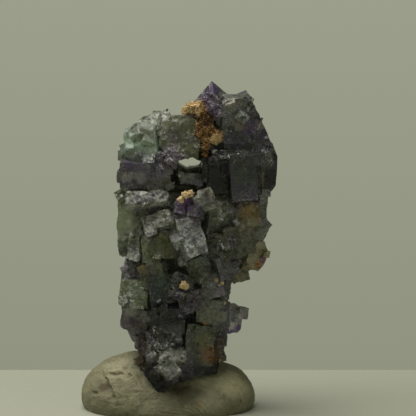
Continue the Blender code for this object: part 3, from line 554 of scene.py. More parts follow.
def etched_crystal(centre, size, turned, corner, look):
    """A crystal with stepped, etched faces: a fine grid, moved by noise that runs through the cluster."""
    roughness = 0.22 if look in SMOOTH_LOOKS else 0.4 + 0.6 * CRYSTAL_LOOKS[look][1]
    bm = block_mesh(size, corner, max(2, round(max(size) / ETCH_GRID) - 1))
    place = Matrix.Translation(centre) @ turned
    for vert in bm.verts:
        block = noise.cell(vert.co * 0.9 + Vector((centre[0], centre[2], 0.5)))
        vert.co *= 1 - ETCH_STEP * roughness * abs(block)
    bmesh.ops.transform(bm, matrix=place, verts=bm.verts)
    for vert in bm.verts:
        waves = wandering(vert.co * 0.7) * ETCH_WIDE + wandering(vert.co * 2.6) * ETCH_FINE
        vert.co += waves * roughness
    bmesh.ops.recalc_face_normals(bm, faces=bm.faces)
    return object_from(bm, "crystal")


def cluster_span(z):
    """Middle and half width of the cluster at a height."""
    for (low, low_middle, low_half), (high, high_middle, high_half) in zip(SPAN_LEVELS, SPAN_LEVELS[1:]):
        if z <= high:
            share = max(0.0, (z - low) / (high - low))
            return (
                low_middle + (high_middle - low_middle) * share,
                low_half + (high_half - low_half) * share,
            )
    return SPAN_LEVELS[-1][1:]


def back_crystals():
    """Crystals over the back and the sides, from foot to top, each with its own size, stance and look."""
    dice = random.Random(BACK_SEED)
    found = []
    for level in range(BACK_LEVELS):
        z = BACK_LOWEST + level * BACK_LEVEL_STEP
        middle, half_width = cluster_span(z)
        places = (-0.66, -0.22, 0.22, 0.66) if level % 2 else (-0.5, 0.0, 0.5)
        for place in places:
            across = place + dice.uniform(-0.08, 0.08)
            depth = BACK_DEPTH * math.sqrt(1 - 0.8 * across * across) + dice.uniform(-0.5, 0.5)
            centre = (middle + across * half_width, depth, z + dice.uniform(-0.6, 0.6))
            side = dice.uniform(*BACK_SIZE) * min(1.0, 0.6 + 0.03 * z)
            size = [side * dice.uniform(0.85, 1.2) for _ in range(3)]
            turned = stance(dice.uniform(-40, 40), dice.uniform(-30, 30), dice.uniform(-30, 30))
            corner = dice.choice((1.0, 1.0, 0.85))
            look = BACK_LOOKS[len(found) * 7 % len(BACK_LOOKS)]
            found.append((Vector(centre), size, turned, corner, look))
    return found


def overgrowths(centre, size, turned, look, dice):
    """Small blocks that stand a little proud of a host, along the edges of its faces."""
    found = []
    for _ in range(OVERGROWTHS_PER_CRYSTAL):
        outward = dice.choice((0, 1, 1, 2))
        sign = -1 if outward == 1 else dice.choice((-1, 1))
        side = min(dice.uniform(*OVERGROWTH_SIZE), 0.6 * min(size))
        small = [side * dice.uniform(0.7, 1.4) for _ in range(3)]
        along = dice.choice([axis for axis in range(3) if axis != outward])
        local = Vector([dice.uniform(-0.4, 0.4) * size[axis] for axis in range(3)])
        local[along] = dice.choice((-1, 1)) * size[along] * dice.uniform(0.36, 0.48)
        local[outward] = sign * (size[outward] / 2 - small[outward] / 2 + dice.uniform(*OVERGROWTH_PROUD))
        own = turned
        if dice.random() < OVERGROWTH_STRAY_SHARE:
            own = turned @ stance(*[dice.uniform(-35, 35) for _ in range(3)])
        found.append((centre + turned @ local, small, own, 1.0, look))
    return found


def all_crystals():
    """Every crystal of the cluster as centre, size, stance, corner share and look."""
    dice = random.Random(OVERGROWTH_SEED)
    hosts = []
    for front, size, angles, corner, look in MAIN_CRYSTALS.values():
        turned = stance(*angles)
        hosts.append((centre_behind(front, size, turned), size, turned, corner, look))
    hosts += back_crystals()
    small = []
    for centre, size, turned, corner, look in hosts:
        if corner > 0.5:
            small += overgrowths(centre, size, turned, look, dice)
    return hosts + small


def join_or_cut(obj, operation, other):
    """Joins or cuts obj with one other object, makes the result its mesh and removes the other."""
    change = obj.modifiers.new(operation.lower(), "BOOLEAN")
    change.operation = operation
    change.solver = "MANIFOLD"
    change.object = other
    bake_modifiers(obj)
    bpy.data.objects.remove(other, do_unlink=True)


def boolean(obj, operation, others):
    """Joins or cuts obj with the others. They are joined in pairs, which gives the same mesh on each run."""
    waiting = [obj] + others if operation == "UNION" else others
    while len(waiting) > 1:
        for first, second in zip(waiting[::2], waiting[1::2]):
            join_or_cut(first, "UNION", second)
        waiting = waiting[::2]
    if operation != "UNION":
        join_or_cut(obj, operation, waiting[0])


def bake_modifiers(obj):
    """Makes what the modifiers show the object's own mesh and removes the modifiers."""
    graph = bpy.context.evaluated_depsgraph_get()
    result = bpy.data.meshes.new_from_object(obj.evaluated_get(graph))
    obj.modifiers.clear()
    obj.data = result


def window_cutter():
    """The open window: a six-sided tunnel from front to back that widens towards both ends."""
    bm = bmesh.new()
    width, length, height = WINDOW_SIZE
    rings = []
    for y, spread in ((-0.5, 1.9), (-0.12, 1.05), (0.12, 1.0), (0.5, 1.7)):
        ring = []
        for corner in range(6):
            angle = math.radians(60 * corner + 17)
            x = math.cos(angle) * width / 2 * spread
            z = math.sin(angle) * height / 2 * spread
            ring.append(bm.verts.new(WINDOW_CENTRE + Vector((x, y * length, z))))
        rings.append(ring)
    for near, far in zip(rings, rings[1:]):
        for i in range(6):
            j = (i + 1) % 6
            bm.faces.new((near[i], near[j], far[j], far[i]))
    bm.faces.new(rings[0][::-1])
    bm.faces.new(rings[-1])
    bmesh.ops.recalc_face_normals(bm, faces=bm.faces)
    return object_from(bm, "window")


def keep_largest_shell(obj):
    """Drops what the joining leaves loose, or shut inside the solid."""
    bm = bmesh.new()
    bm.from_mesh(obj.data)
    left = set(bm.faces)
    shells = []
    while left:
        start = left.pop()
        shell = [start]
        waiting = [start]
        while waiting:
            face = waiting.pop()
            for edge in face.edges:
                for other in edge.link_faces if len(edge.link_faces) == 2 else ():
                    if other in left:
                        left.discard(other)
                        shell.append(other)
                        waiting.append(other)
        shells.append(shell)
    largest = max(shells, key=len)
    for shell in shells:
        if shell is not largest:
            bmesh.ops.delete(bm, geom=shell, context="FACES")
    bm.to_mesh(obj.data)
    bm.free()


def read_out(items, field, width, kind=np.float32):
    """One field of a mesh's vertices, faces or corners as an array."""
    values = np.empty(len(items) * width, kind)
    items.foreach_get(field, values)
    return values.reshape(-1, width) if width > 1 else values


def nearness(mesh, crystals):
    """The crystal whose surface each face lies on, and how far each face is from every crystal's surface."""
    centres = read_out(mesh.polygons, "center", 3)
    away = np.empty((len(crystals), len(centres)), np.float32)
    for number, (centre, size, turned, corner, _) in enumerate(crystals):
        turn = np.array(turned.to_3x3())
        local = np.abs((centres - np.array(centre)) @ turn)
        half = np.array(size) / 2
        out_of_block = (local - half).max(axis=1)
        out_of_corner = local.sum(axis=1) / math.sqrt(3) - corner_reach(size, corner)
        if corner >= 1:
            out_of_corner = out_of_block
        away[number] = np.abs(np.maximum(out_of_block, out_of_corner))
    return away.argmin(axis=0), away


def set_attribute(mesh, name, kind, domain, values):
    """Stores an array on the mesh under a name that materials and node trees read."""
    if name in mesh.attributes:
        mesh.attributes.remove(mesh.attributes[name])
    layer = mesh.attributes.new(name, kind, domain)
    field = {"FLOAT": "value", "FLOAT_COLOR": "color", "FLOAT_VECTOR": "vector"}[kind]
    layer.data.foreach_set(field, np.asarray(values, np.float32).ravel())


def describe_faces(mesh, crystals):
    """Gives faces their crystal's colour, frost, stripes and druse, and corners their place on the crystal."""
    dice = random.Random(TINT_SEED)
    host, away = nearness(mesh, crystals)
    share = np.exp(-away / BLEND_OVER)
    share /= share.sum(axis=0)
    colours = np.empty((len(crystals), 4))
    finish = np.empty((len(crystals), 3))
    for number, (_, size, _, _, look) in enumerate(crystals):
        colour, frost, stripes, druse = CRYSTAL_LOOKS[look]
        brightness = dice.uniform(0.78, 1.25)
        warmth = dice.uniform(-0.06, 0.06)
        colours[number] = (
            colour[0] * brightness * (1 + warmth),
            colour[1] * brightness,
            colour[2] * brightness * (1 - warmth),
            1.0,
        )
        finish[number] = (frost, stripes, druse)
    set_attribute(mesh, "stone_colour", "FLOAT_COLOR", "FACE", share.T @ colours)
    set_attribute(mesh, "frost", "FLOAT", "FACE", share.T @ finish[:, 0])
    set_attribute(mesh, "stripes", "FLOAT", "FACE", finish[host, 1])
    set_attribute(mesh, "druse", "FLOAT", "FACE", finish[host, 2])
    turns = np.array([tuple(turned.to_euler()) for _, _, turned, _, _ in crystals])
    set_attribute(mesh, "own_turn", "FLOAT_VECTOR", "FACE", turns[host])
    corner_host = np.repeat(host, read_out(mesh.polygons, "loop_total", 1, np.int32))
    place = read_out(mesh.vertices, "co", 3)[read_out(mesh.loops, "vertex_index", 1, np.int32)]
    local = np.zeros_like(place)
    for number, (centre, _, turned, _, _) in enumerate(crystals):
        mine = corner_host == number
        if mine.any():
            turn = np.array(turned.to_3x3())
            local[mine] = (place[mine] - np.array(centre)) @ turn + number * PLACE_STEP
    set_attribute(mesh, "on_crystal", "FLOAT_VECTOR", "CORNER", local)


def new_tree(name, materials, numbers):
    """A geometry node tree with inputs for its materials and numbers, and the sockets that they feed."""
    tree = bpy.data.node_groups.new(name, "GeometryNodeTree")
    sockets = [("Geometry", "INPUT", "NodeSocketGeometry")]
    sockets += [(label, "INPUT", "NodeSocketMaterial") for label in materials]
    sockets += [
        (label, "INPUT", "NodeSocketInt" if label == "Seed" else "NodeSocketFloat") for label in numbers
    ]
    sockets.append(("Geometry", "OUTPUT", "NodeSocketGeometry"))
    for label, side, kind in sockets:
        made = tree.interface.new_socket(name=label, in_out=side, socket_type=kind)
        if label in numbers:
            made.default_value = numbers[label]
    return tree, tree.nodes.new("NodeGroupInput").outputs


def tree_node(tree, kind, settings=None, **links):
    """One node of a tree, its settings first and then what its sockets take, by socket name."""
    made = tree.nodes.new(kind)
    for key, value in (settings or {}).items():
        setattr(made, key, value)
    for name, value in links.items():
        wanted = name.replace("_", " ").lower()
        socket = next(s for s in made.inputs if s.name.lower() == wanted and s.enabled)
        if isinstance(value, bpy.types.NodeSocket):
            tree.links.new(value, socket)
        else:
            socket.default_value = value
    return made


def random_turn(tree, start, most, share):
    """A turn of up to most about each axis, times a share, that differs from copy to copy."""
    stray = tree_node(tree, "FunctionNodeRandomValue", {"data_type": "FLOAT_VECTOR"})
    stray.inputs["Min"].default_value = [-angle for angle in most]
    stray.inputs["Max"].default_value = most
    tree.links.new(start["Seed"], stray.inputs["Seed"])
    leaning = tree_node(tree, "ShaderNodeVectorMath", {"operation": "SCALE"})
    tree.links.new(stray.outputs[0], leaning.inputs["Vector"])
    tree.links.new(share, leaning.inputs["Scale"])
    return tree_node(tree, "FunctionNodeEulerToRotation", {}, euler=leaning.outputs[0])


def druse_tree():
    """Little blocks that grow out of a surface in clumps, roughly in line with it and joined to it."""
    numbers = {
        "Spacing": 0.5, "Most per area": 3.0, "Smallest": 0.2, "Largest": 0.7, "Stray turn": 0.3, "Seed": 1,
    }
    tree, start = new_tree("Druse", ["Material"], numbers)
    thickness = tree_node(tree, "GeometryNodeInputNamedAttribute", {"data_type": "FLOAT"}, name="druse")
    stance_of_host = tree_node(
        tree, "GeometryNodeInputNamedAttribute", {"data_type": "FLOAT_VECTOR"}, name="own_turn"
    )
    clumps = tree_node(tree, "ShaderNodeTexNoise", {}, scale=0.55, detail=2.0)
    clumped = tree_node(
        tree, "ShaderNodeMapRange", {}, value=clumps.outputs[0], from_min=0.44, from_max=0.6
    )
    density = tree_node(tree, "ShaderNodeMath", {"operation": "MULTIPLY"})
    tree.links.new(thickness.outputs["Attribute"], density.inputs[0])
    tree.links.new(clumped.outputs["Result"], density.inputs[1])
    scatter = tree_node(
        tree, "GeometryNodeDistributePointsOnFaces", {"distribute_method": "POISSON"},
        mesh=start["Geometry"], distance_min=start["Spacing"], density_max=start["Most per area"],
        density_factor=density.outputs[0], seed=start["Seed"],
    )
    host_turn = tree_node(tree, "FunctionNodeEulerToRotation", {}, euler=stance_of_host.outputs[0])
    own_lean = random_turn(tree, start, (1.0, 1.0, 1.0), start["Stray turn"])
    together = tree_node(
        tree, "FunctionNodeRotateRotation", {"rotation_space": "LOCAL"},
        rotation=host_turn.outputs[0], rotate_by=own_lean.outputs[0],
    )
    shape = tree_node(tree, "FunctionNodeRandomValue", {"data_type": "FLOAT_VECTOR"})
    tree.links.new(start["Smallest"], shape.inputs["Min"])
    tree.links.new(start["Largest"], shape.inputs["Max"])
    tree.links.new(start["Seed"], shape.inputs["Seed"])
    block = tree_node(tree, "GeometryNodeMeshCube")
    grown = tree_node(
        tree, "GeometryNodeInstanceOnPoints", {},
        points=scatter.outputs["Points"], instance=block.outputs["Mesh"],
        rotation=together.outputs[0], scale=shape.outputs[0],
    )
    joined = tree_node(tree, "GeometryNodeMeshBoolean", {"operation": "UNION", "solver": "MANIFOLD"})
    tree.links.new(start["Geometry"], joined.inputs["Mesh 2"])
    tree.links.new(grown.outputs["Instances"], joined.inputs["Mesh 2"])
    real = tree_node(tree, "GeometryNodeRealizeInstances", {}, geometry=joined.outputs["Mesh"])
    painted = tree_node(
        tree, "GeometryNodeSetMaterial", {}, geometry=real.outputs["Geometry"], material=start["Material"]
    )
    end = tree.nodes.new("NodeGroupOutput")
    tree.links.new(painted.outputs["Geometry"], end.inputs["Geometry"])
    return tree


def fibre_tree():
    """Short needles that stand on a surface, each leaning its own way."""
    numbers = {"Per area": 4.0, "Length": 0.35, "Thickness": 0.05, "Lean": 0.7, "Seed": 1}
    tree, start = new_tree("Fibres", ["Material", "Fibre material"], numbers)
    scatter = tree_node(
        tree, "GeometryNodeDistributePointsOnFaces", {"distribute_method": "RANDOM"},
        mesh=start["Geometry"], density=start["Per area"], seed=start["Seed"],
    )
    own_lean = random_turn(tree, start, (1.0, 1.0, 3.1), start["Lean"])
    together = tree_node(
        tree, "FunctionNodeRotateRotation", {"rotation_space": "LOCAL"},
        rotation=scatter.outputs["Rotation"], rotate_by=own_lean.outputs[0],
    )
    needle = tree_node(
        tree, "GeometryNodeMeshCone", {"fill_type": "TRIANGLE_FAN"},
        vertices=5, radius_top=0.0, radius_bottom=start["Thickness"], depth=start["Length"],
    )
    size = tree_node(tree, "FunctionNodeRandomValue", {"data_type": "FLOAT"})
    size.inputs[2].default_value = 0.4
    size.inputs[3].default_value = 1.3
    grown = tree_node(
        tree, "GeometryNodeInstanceOnPoints", {},
        points=scatter.outputs["Points"], instance=needle.outputs["Mesh"], rotation=together.outputs[0],
    )
    tree.links.new(size.outputs[1], grown.inputs["Scale"])
    lumps = tree_node(
        tree, "GeometryNodeSetMaterial", {}, geometry=start["Geometry"], material=start["Material"]
    )
    needles = tree_node(tree, "GeometryNodeRealizeInstances", {}, geometry=grown.outputs["Instances"])
    painted = tree_node(
        tree, "GeometryNodeSetMaterial", {},
        geometry=needles.outputs["Geometry"], material=start["Fibre material"],
    )
    joined = tree_node(tree, "GeometryNodeJoinGeometry")
    tree.links.new(lumps.outputs["Geometry"], joined.inputs[0])
    tree.links.new(painted.outputs["Geometry"], joined.inputs[0])
    end = tree.nodes.new("NodeGroupOutput")
    tree.links.new(joined.outputs[0], end.inputs["Geometry"])
    return tree


def apply_tree(obj, tree, values):
    """Runs a geometry node tree on obj with its named inputs set, and keeps the plain mesh it gives."""
    change = obj.modifiers.new(tree.name, "NODES")
    change.node_group = tree
    for item in tree.interface.items_tree:
        if item.in_out == "INPUT" and item.name in values:
            change[item.identifier] = values[item.name]
    bake_modifiers(obj)


def field_at(points, blobs):
    """Summed strength of the blobs at an array of points."""
    total = np.zeros(len(points))
    for centre, half in blobs:
        away = (((points - np.array(centre)) / np.array(half)) ** 2).sum(axis=1)
        total += np.exp(-0.6 * away)
    return total


def putty_surface(ways):
    """How far the putty's surface lies from its middle along each unit direction."""
    near = np.zeros(len(ways))
    far = np.full(len(ways), 20.0)
    for _ in range(30):
        middle = (near + far) / 2
        points = PUTTY_CENTRE + ways * middle[:, None]
        strength = field_at(points, PUTTY_BLOBS) - PUTTY_DENT_DEPTH * field_at(points, [PUTTY_DENT])
        inside = strength > PUTTY_LEVEL
        near[inside] = middle[inside]
        far[~inside] = middle[~inside]
    return near


class Wire:
    """A node's output socket that takes part in sums: each sum adds its Math node."""

    def __init__(self, paint, socket):
        self.paint = paint
        self.socket = socket

    def also(self, name):
        """Another output of the same node."""
        return Wire(self.paint, self.socket.node.outputs[name])

    def _sum(self, operation, first, second):
        return self.paint.node("ShaderNodeMath", {"operation": operation}, [first, second])

    def __add__(self, other):
        return self._sum("ADD", self, other)

    __radd__ = __add__

    def __sub__(self, other):
        return self._sum("SUBTRACT", self, other)

    def __rsub__(self, other):
        return self._sum("SUBTRACT", other, self)

    def __mul__(self, other):
        return self._sum("MULTIPLY", self, other)

    __rmul__ = __mul__


class Paint:
    """One material's node tree, with one method that adds any node."""

    def __init__(self, name):
        self.material = bpy.data.materials.new(name)
        self.material.use_nodes = True
        self.tree = self.material.node_tree
        self.shader = self.tree.nodes["Principled BSDF"]
        place = self.node("ShaderNodeTexCoord", {}, {}, "Object")
        self.mm = self.stretched(place, (1 / METRES_PER_MM,) * 3)

    def node(self, kind, settings, sockets, output=0):
        """Adds a node: its settings first, then its sockets by name or in order, and gives one output."""
        made = self.tree.nodes.new(kind)
        for key, value in settings.items():
            if key == "stops":
                self._set_stops(made.color_ramp, value)
            else:
                setattr(made, key, value)
        pairs = sockets.items() if isinstance(sockets, dict) else enumerate(sockets)
        for key, value in pairs:
            self._feed(self._input(made, key), value)
        if isinstance(output, str):
            return Wire(self, next(s for s in made.outputs if s.enabled and s.name == output))
        return Wire(self, [s for s in made.outputs if s.enabled][output])

    @staticmethod
    def _set_stops(ramp, stops):
        while len(ramp.elements) < len(stops):
            ramp.elements.new(0.5)
        for element, (position, colour) in zip(ramp.elements, stops):
            element.position = position
            element.color = (*colour, 1.0)

    @staticmethod
    def _input(made, key):
        enabled = [s for s in made.inputs if s.enabled]
        if isinstance(key, int):
            return enabled[key]
        return next(s for s in enabled if s.name == key)

    def _feed(self, socket, value):
        if isinstance(value, Wire):
            self.tree.links.new(value.socket, socket)
        elif hasattr(value, "__len__") and len(value) == 3 and len(socket.default_value) == 4:
            socket.default_value = (*value, 1.0)
        else:
            socket.default_value = value

    def set(self, **values):
        """Sets or links the shader's own sockets, named with _ for a space."""
        for name, value in values.items():
            self._feed(self.shader.inputs[name.replace("_", " ")], value)

    def attribute(self, name, output):
        return self.node("ShaderNodeAttribute", {"attribute_name": name}, {}, output)

    def noise(self, scale, detail=4.0, roughness=0.6, distortion=0.0, vector=None):
        sockets = {
            "Vector": vector or self.mm, "Scale": scale, "Detail": detail,
            "Roughness": roughness, "Distortion": distortion,
        }
        return self.node("ShaderNodeTexNoise", {}, sockets)

    def cells(self, scale, metric="EUCLIDEAN", feature="F1", output="Distance", vector=None):
        settings = {"feature": feature}
        if feature != "DISTANCE_TO_EDGE":
            settings["distance"] = metric
        sockets = {"Vector": vector or self.mm, "Scale": scale}
        return self.node("ShaderNodeTexVoronoi", settings, sockets, output)

    def ramp(self, value, *stops):
        """The colour that a number has among colour stops."""
        return self.node("ShaderNodeValToRGB", {"stops": stops}, {"Fac": value}, "Color")

    def between(self, value, low, high, to_low=0.0, to_high=1.0):
        sockets = {"Value": value, "From Min": low, "From Max": high, "To Min": to_low, "To Max": to_high}
        return self.node("ShaderNodeMapRange", {"clamp": True}, sockets)

    def mix(self, share, first, second, blend="MIX"):
        """One colour laid over another by a share."""
        settings = {"data_type": "RGBA", "blend_type": blend}
        return self.node("ShaderNodeMix", settings, {"Factor": share, "A": first, "B": second}, "Result")

    def bump(self, height, strength, distance, normal=None):
        sockets = {"Height": height, "Strength": strength, "Distance": distance}
        if normal:
            sockets["Normal"] = normal
        return self.node("ShaderNodeBump", {}, sockets, "Normal")

    def stretched(self, vector, by):
        """A vector with each of its parts multiplied."""
        return self.node("ShaderNodeVectorMath", {"operation": "MULTIPLY"}, [vector, by])

    def part(self, vector, axis):
        return self.node("ShaderNodeSeparateXYZ", {}, [vector], axis)

    def wander(self, scale, by):
        """A vector that strays smoothly from place to place."""
        sockets = {"Vector": self.mm, "Scale": scale, "Detail": 2.0}
        stray = self.node("ShaderNodeTexNoise", {}, sockets, "Color")
        return self.stretched(stray, (by, by, by))

    def patch(self, centre, radius, ragged=0.5):
        """1 at a place on the piece, fading to 0 at radius, with a ragged rim; all in millimetres."""
        middle = Vector(centre) + SHIFT
        away = self.node("ShaderNodeVectorMath", {"operation": "DISTANCE"}, [self.mm, middle], "Value")
        wander = (self.noise(1.7 / radius, 3.0, 0.7) - 0.5) * radius * ragged * 2.0
        return self.between(away + wander, radius * 0.45, radius, 1.0, 0.0)

    def stain_light_and_shade(self, colour, stains, carrier):
        """Lays stains, and painted light and shade, over a colour, each where its line of sight meets the
        carrier.
        """
        faces = faces_of(carrier)
        for across, height, radius, own, strength in stains:
            centre, _ = seen_place(faces, across, height)
            colour = self.mix(self.patch(centre, radius) * strength, colour, own)
        return colour

    def cover(self, places, carrier):
        """Where any of a list of places lies, each across, height and radius."""
        faces = faces_of(carrier)
        total = 0.0
        for across, height, radius in places:
            centre, _ = seen_place(faces, across, height)
            total = self.patch(centre, radius) + total
        return self.between(total, 0.0, 1.0)

    def facets(self, scale, vector):
        """Height and a random colour of splintered facets, each flat and tilted its own way."""
        cell = self.cells(scale, output="Color", vector=vector)
        away = self.node("ShaderNodeVectorMath", {"operation": "SUBTRACT"}, [vector, cell.also("Position")])
        tilt = self.node("ShaderNodeVectorMath", {"operation": "SUBTRACT"}, [cell, (0.5, 0.5, 0.5)])
        height = self.node("ShaderNodeVectorMath", {"operation": "DOT_PRODUCT"}, [away, tilt], "Value")
        return height, cell


def fluorite_material(settings, cluster):
    """Glassy stone: its crystal's colour, violet zones, growth lines, stepped blocks and a frosted bloom, with
    painted glints and the painted light and shade of its stain list.
    """
    paint = Paint("fluorite")
    local = paint.attribute("on_crystal", "Vector")
    frost = paint.attribute("frost", "Fac")
    lined = paint.attribute("stripes", "Fac")
    stone = paint.attribute("stone_colour", "Color")
    clouds = paint.noise(0.55, 4.0, 0.65)
    grain = paint.noise(5.0, 3.0, 0.7)
    lines = paint.noise(1.0, 3.0, 0.6, vector=paint.stretched(local, (0.35, 0.35, 4.8)))
    cross_lines = paint.noise(1.0, 2.0, 0.5, vector=paint.stretched(local, (3.6, 0.4, 0.3)))
    block = paint.cells(1.15, "CHEBYCHEV", output="Color", vector=local)
    step = paint.part(block, "X")
    small_block = paint.cells(3.4, "CHEBYCHEV", output="Color", vector=local)
    small_step = paint.part(small_block, "Y")
    bent = paint.node("ShaderNodeVectorMath", {"operation": "ADD"}, [paint.mm, paint.wander(1.1, 0.9)])
    pits = paint.between(paint.cells(2.6), 0.05, 0.32)
    speck = paint.between(paint.cells(3.6), 0.10, 0.28, 1.0, 0.0)
    # Painted glints: rare bright cells on frosted faces
    glint = paint.between(paint.part(paint.cells(5.5, output="Color", vector=bent), "X"), 0.93, 0.96) * frost
    bloom = paint.between(paint.noise(1.6, 6.0, 0.8), 0.50, 0.62) * frost
    zone = paint.between(paint.noise(0.34, 3.0, 0.6, 1.0), 0.52, 0.60)
    crack = paint.between(paint.cells(0.75, feature="DISTANCE_TO_EDGE", vector=bent), 0.0, 0.035, 1.0, 0.0)
    chip_height, chip = paint.facets(1.5, bent)
    splinter_height, splinter = paint.facets(3.8, bent)
    mottle = paint.between(paint.noise(2.4, 6.0, 0.78), 0.36, 0.64)
    tone = clouds * 0.35 + mottle * 0.22 + step * 0.1 + lines * lined * 0.22
    tone = tone + paint.part(chip, "X") * 0.16 * frost + paint.part(splinter, "X") * 0.2 * frost
    shade = paint.ramp(
        tone,
        (0.22, (0.16, 0.165, 0.15)),
        (0.44, (0.62, 0.63, 0.60)),
        (0.68, (1.0, 1.0, 1.0)),
    )
    colour = paint.mix(1.0, stone, shade, "MULTIPLY")
    violet_chip = paint.between(paint.part(chip, "Y"), 0.62, 0.72) * frost
    colour = paint.mix(zone * 0.35 + violet_chip * 0.4, colour, settings.violet)
    amber_chip = paint.between(paint.part(splinter, "Z"), 0.92, 0.95) * frost
    colour = paint.mix(amber_chip * 0.5, colour, settings.amber)
    dark_chip = paint.between(paint.part(splinter, "Y"), 0.74, 0.82) * frost
    colour = paint.mix(dark_chip * 0.6, colour, (0.015, 0.016, 0.012))
    colour = paint.mix(bloom * 0.5, colour, settings.bloom)
    colour = paint.mix(crack * paint.between(clouds, 0.45, 0.6) * 0.5, colour, settings.bloom)
    # Stains, with painted light on the green, honey and clear crystals and painted shade on shadowed side
    # faces
    colour = paint.stain_light_and_shade(colour, STONE_STAINS_LIGHT_AND_SHADE, cluster)
    colour = paint.mix(speck * frost * paint.between(mottle, 0.45, 0.75) * 0.9, colour, settings.speck)
    # Painted glints: white flecks over darkened stone in the sparkle patches
    sparkle = paint.cover(SPARKLES, cluster)
    glint_flecks = paint.between(paint.part(paint.cells(4.2, output="Color", vector=bent), "Z"), 0.70, 0.78)
    colour = paint.mix(sparkle * (1.0 - glint_flecks) * 0.7, colour, (0.025, 0.022, 0.024))
    colour = paint.mix(sparkle * glint_flecks * 0.9, colour, settings.speck)
    # The painted glints, gathered in patches and laid in the speck colour
    gathered = paint.between(paint.noise(0.8, 2.0, 0.5), 0.50, 0.60)
    colour = paint.mix(glint * gathered * 0.85, colour, settings.speck)
    rough = 0.05 + frost * 0.08 + bloom * 0.22 + grain * 0.06
    relief = lines * lined * 0.9 + cross_lines * lined * 0.35 + step * 0.35 + small_step * frost * 0.3
    normal = paint.bump(relief + mottle * frost * 0.5 + grain * frost * 0.3 + pits * 0.25, 1.0, 0.00006)
    normal = paint.bump((chip_height * 0.9 + splinter_height * 1.1) * frost, 0.9, 0.001, normal)
    paint.set(
        Base_Color=colour,
        Roughness=rough,
        Normal=normal,
        IOR=settings.ior,
        Transmission_Weight=settings.clear_share,
    )
    inside = paint.tree.nodes.new("ShaderNodeVolumeAbsorption")
    inside.inputs["Color"].default_value = (*settings.inside_colour, 1.0)
    inside.inputs["Density"].default_value = settings.inside_density
    output = paint.tree.nodes["Material Output"]
    paint.tree.links.new(inside.outputs["Volume"], output.inputs["Volume"])
    return paint.material


def rust_material(settings):
    """Crumbly iron rust: nearly black hollows, brown and orange crumbs, cream at its upper left end."""
    paint = Paint("iron_rust")
    crumb = paint.noise(1.5, 6.0, 0.75, 0.4)
    fine = paint.noise(7.0, 4.0, 0.7)
    colour = paint.ramp(
        crumb * 0.75 + fine * 0.25,
        (0.36, settings.rust_dark),
        (0.50, settings.rust),
        (0.64, settings.rust_bright),
    )
    colour = paint.mix(paint.patch(CREAM_END, 1.7) * 0.9, colour, settings.cream)
    colour = paint.mix(paint.patch(DARK_MIDDLE, 1.1, 0.3) * 0.75, colour, settings.rust_dark)
    colour = paint.mix(paint.patch(CREAM_SPOT, 0.9, 0.6) * 0.8, colour, settings.cream)
    relief = crumb * 0.7 + fine * 0.4
    paint.set(
        Base_Color=colour, Roughness=paint.between(fine, 0.3, 0.7, 0.65, 0.95),
        Normal=paint.bump(relief, 0.9, 0.00012), Specular_IOR_Level=0.25,
    )
    return paint.material


def fibre_material(settings):
    """Matted strands of yellow-brown iron mineral."""
    paint = Paint("rust_fibres")
    tone = paint.noise(1.8, 4.0, 0.7)
    middle = paint.patch(DARK_MIDDLE, 1.5, 0.3)
    colour = paint.ramp(
        tone - middle * 0.09 + paint.patch(CREAM_END, 1.8) * 0.3,
        (0.38, settings.rust),
        (0.48, settings.rust_bright),
        (0.58, settings.cream),
    )
    paint.set(Base_Color=colour, Roughness=paint.between(tone, 0.3, 0.7, 0.5, 0.8), Specular_IOR_Level=0.3)
    return paint.material


def cream_material(settings):
    """Chalky cream mineral with tan hollows and a little rust."""
    paint = Paint("cream_mineral")
    cloud = paint.noise(1.6, 5.0, 0.7)
    fine = paint.noise(8.0, 3.0, 0.7)
    colour = paint.ramp(
        cloud * 0.7 + fine * 0.3,
        (0.36, settings.cream_shade),
        (0.50, settings.cream),
        (0.68, (0.72, 0.56, 0.32)),
    )
    paint.set(
        Base_Color=colour, Roughness=paint.between(fine, 0.3, 0.7, 0.6, 0.9),
        Normal=paint.bump(cloud * 0.6 + fine * 0.4, 0.8, 0.0001), Specular_IOR_Level=0.3,
    )
    return paint.material


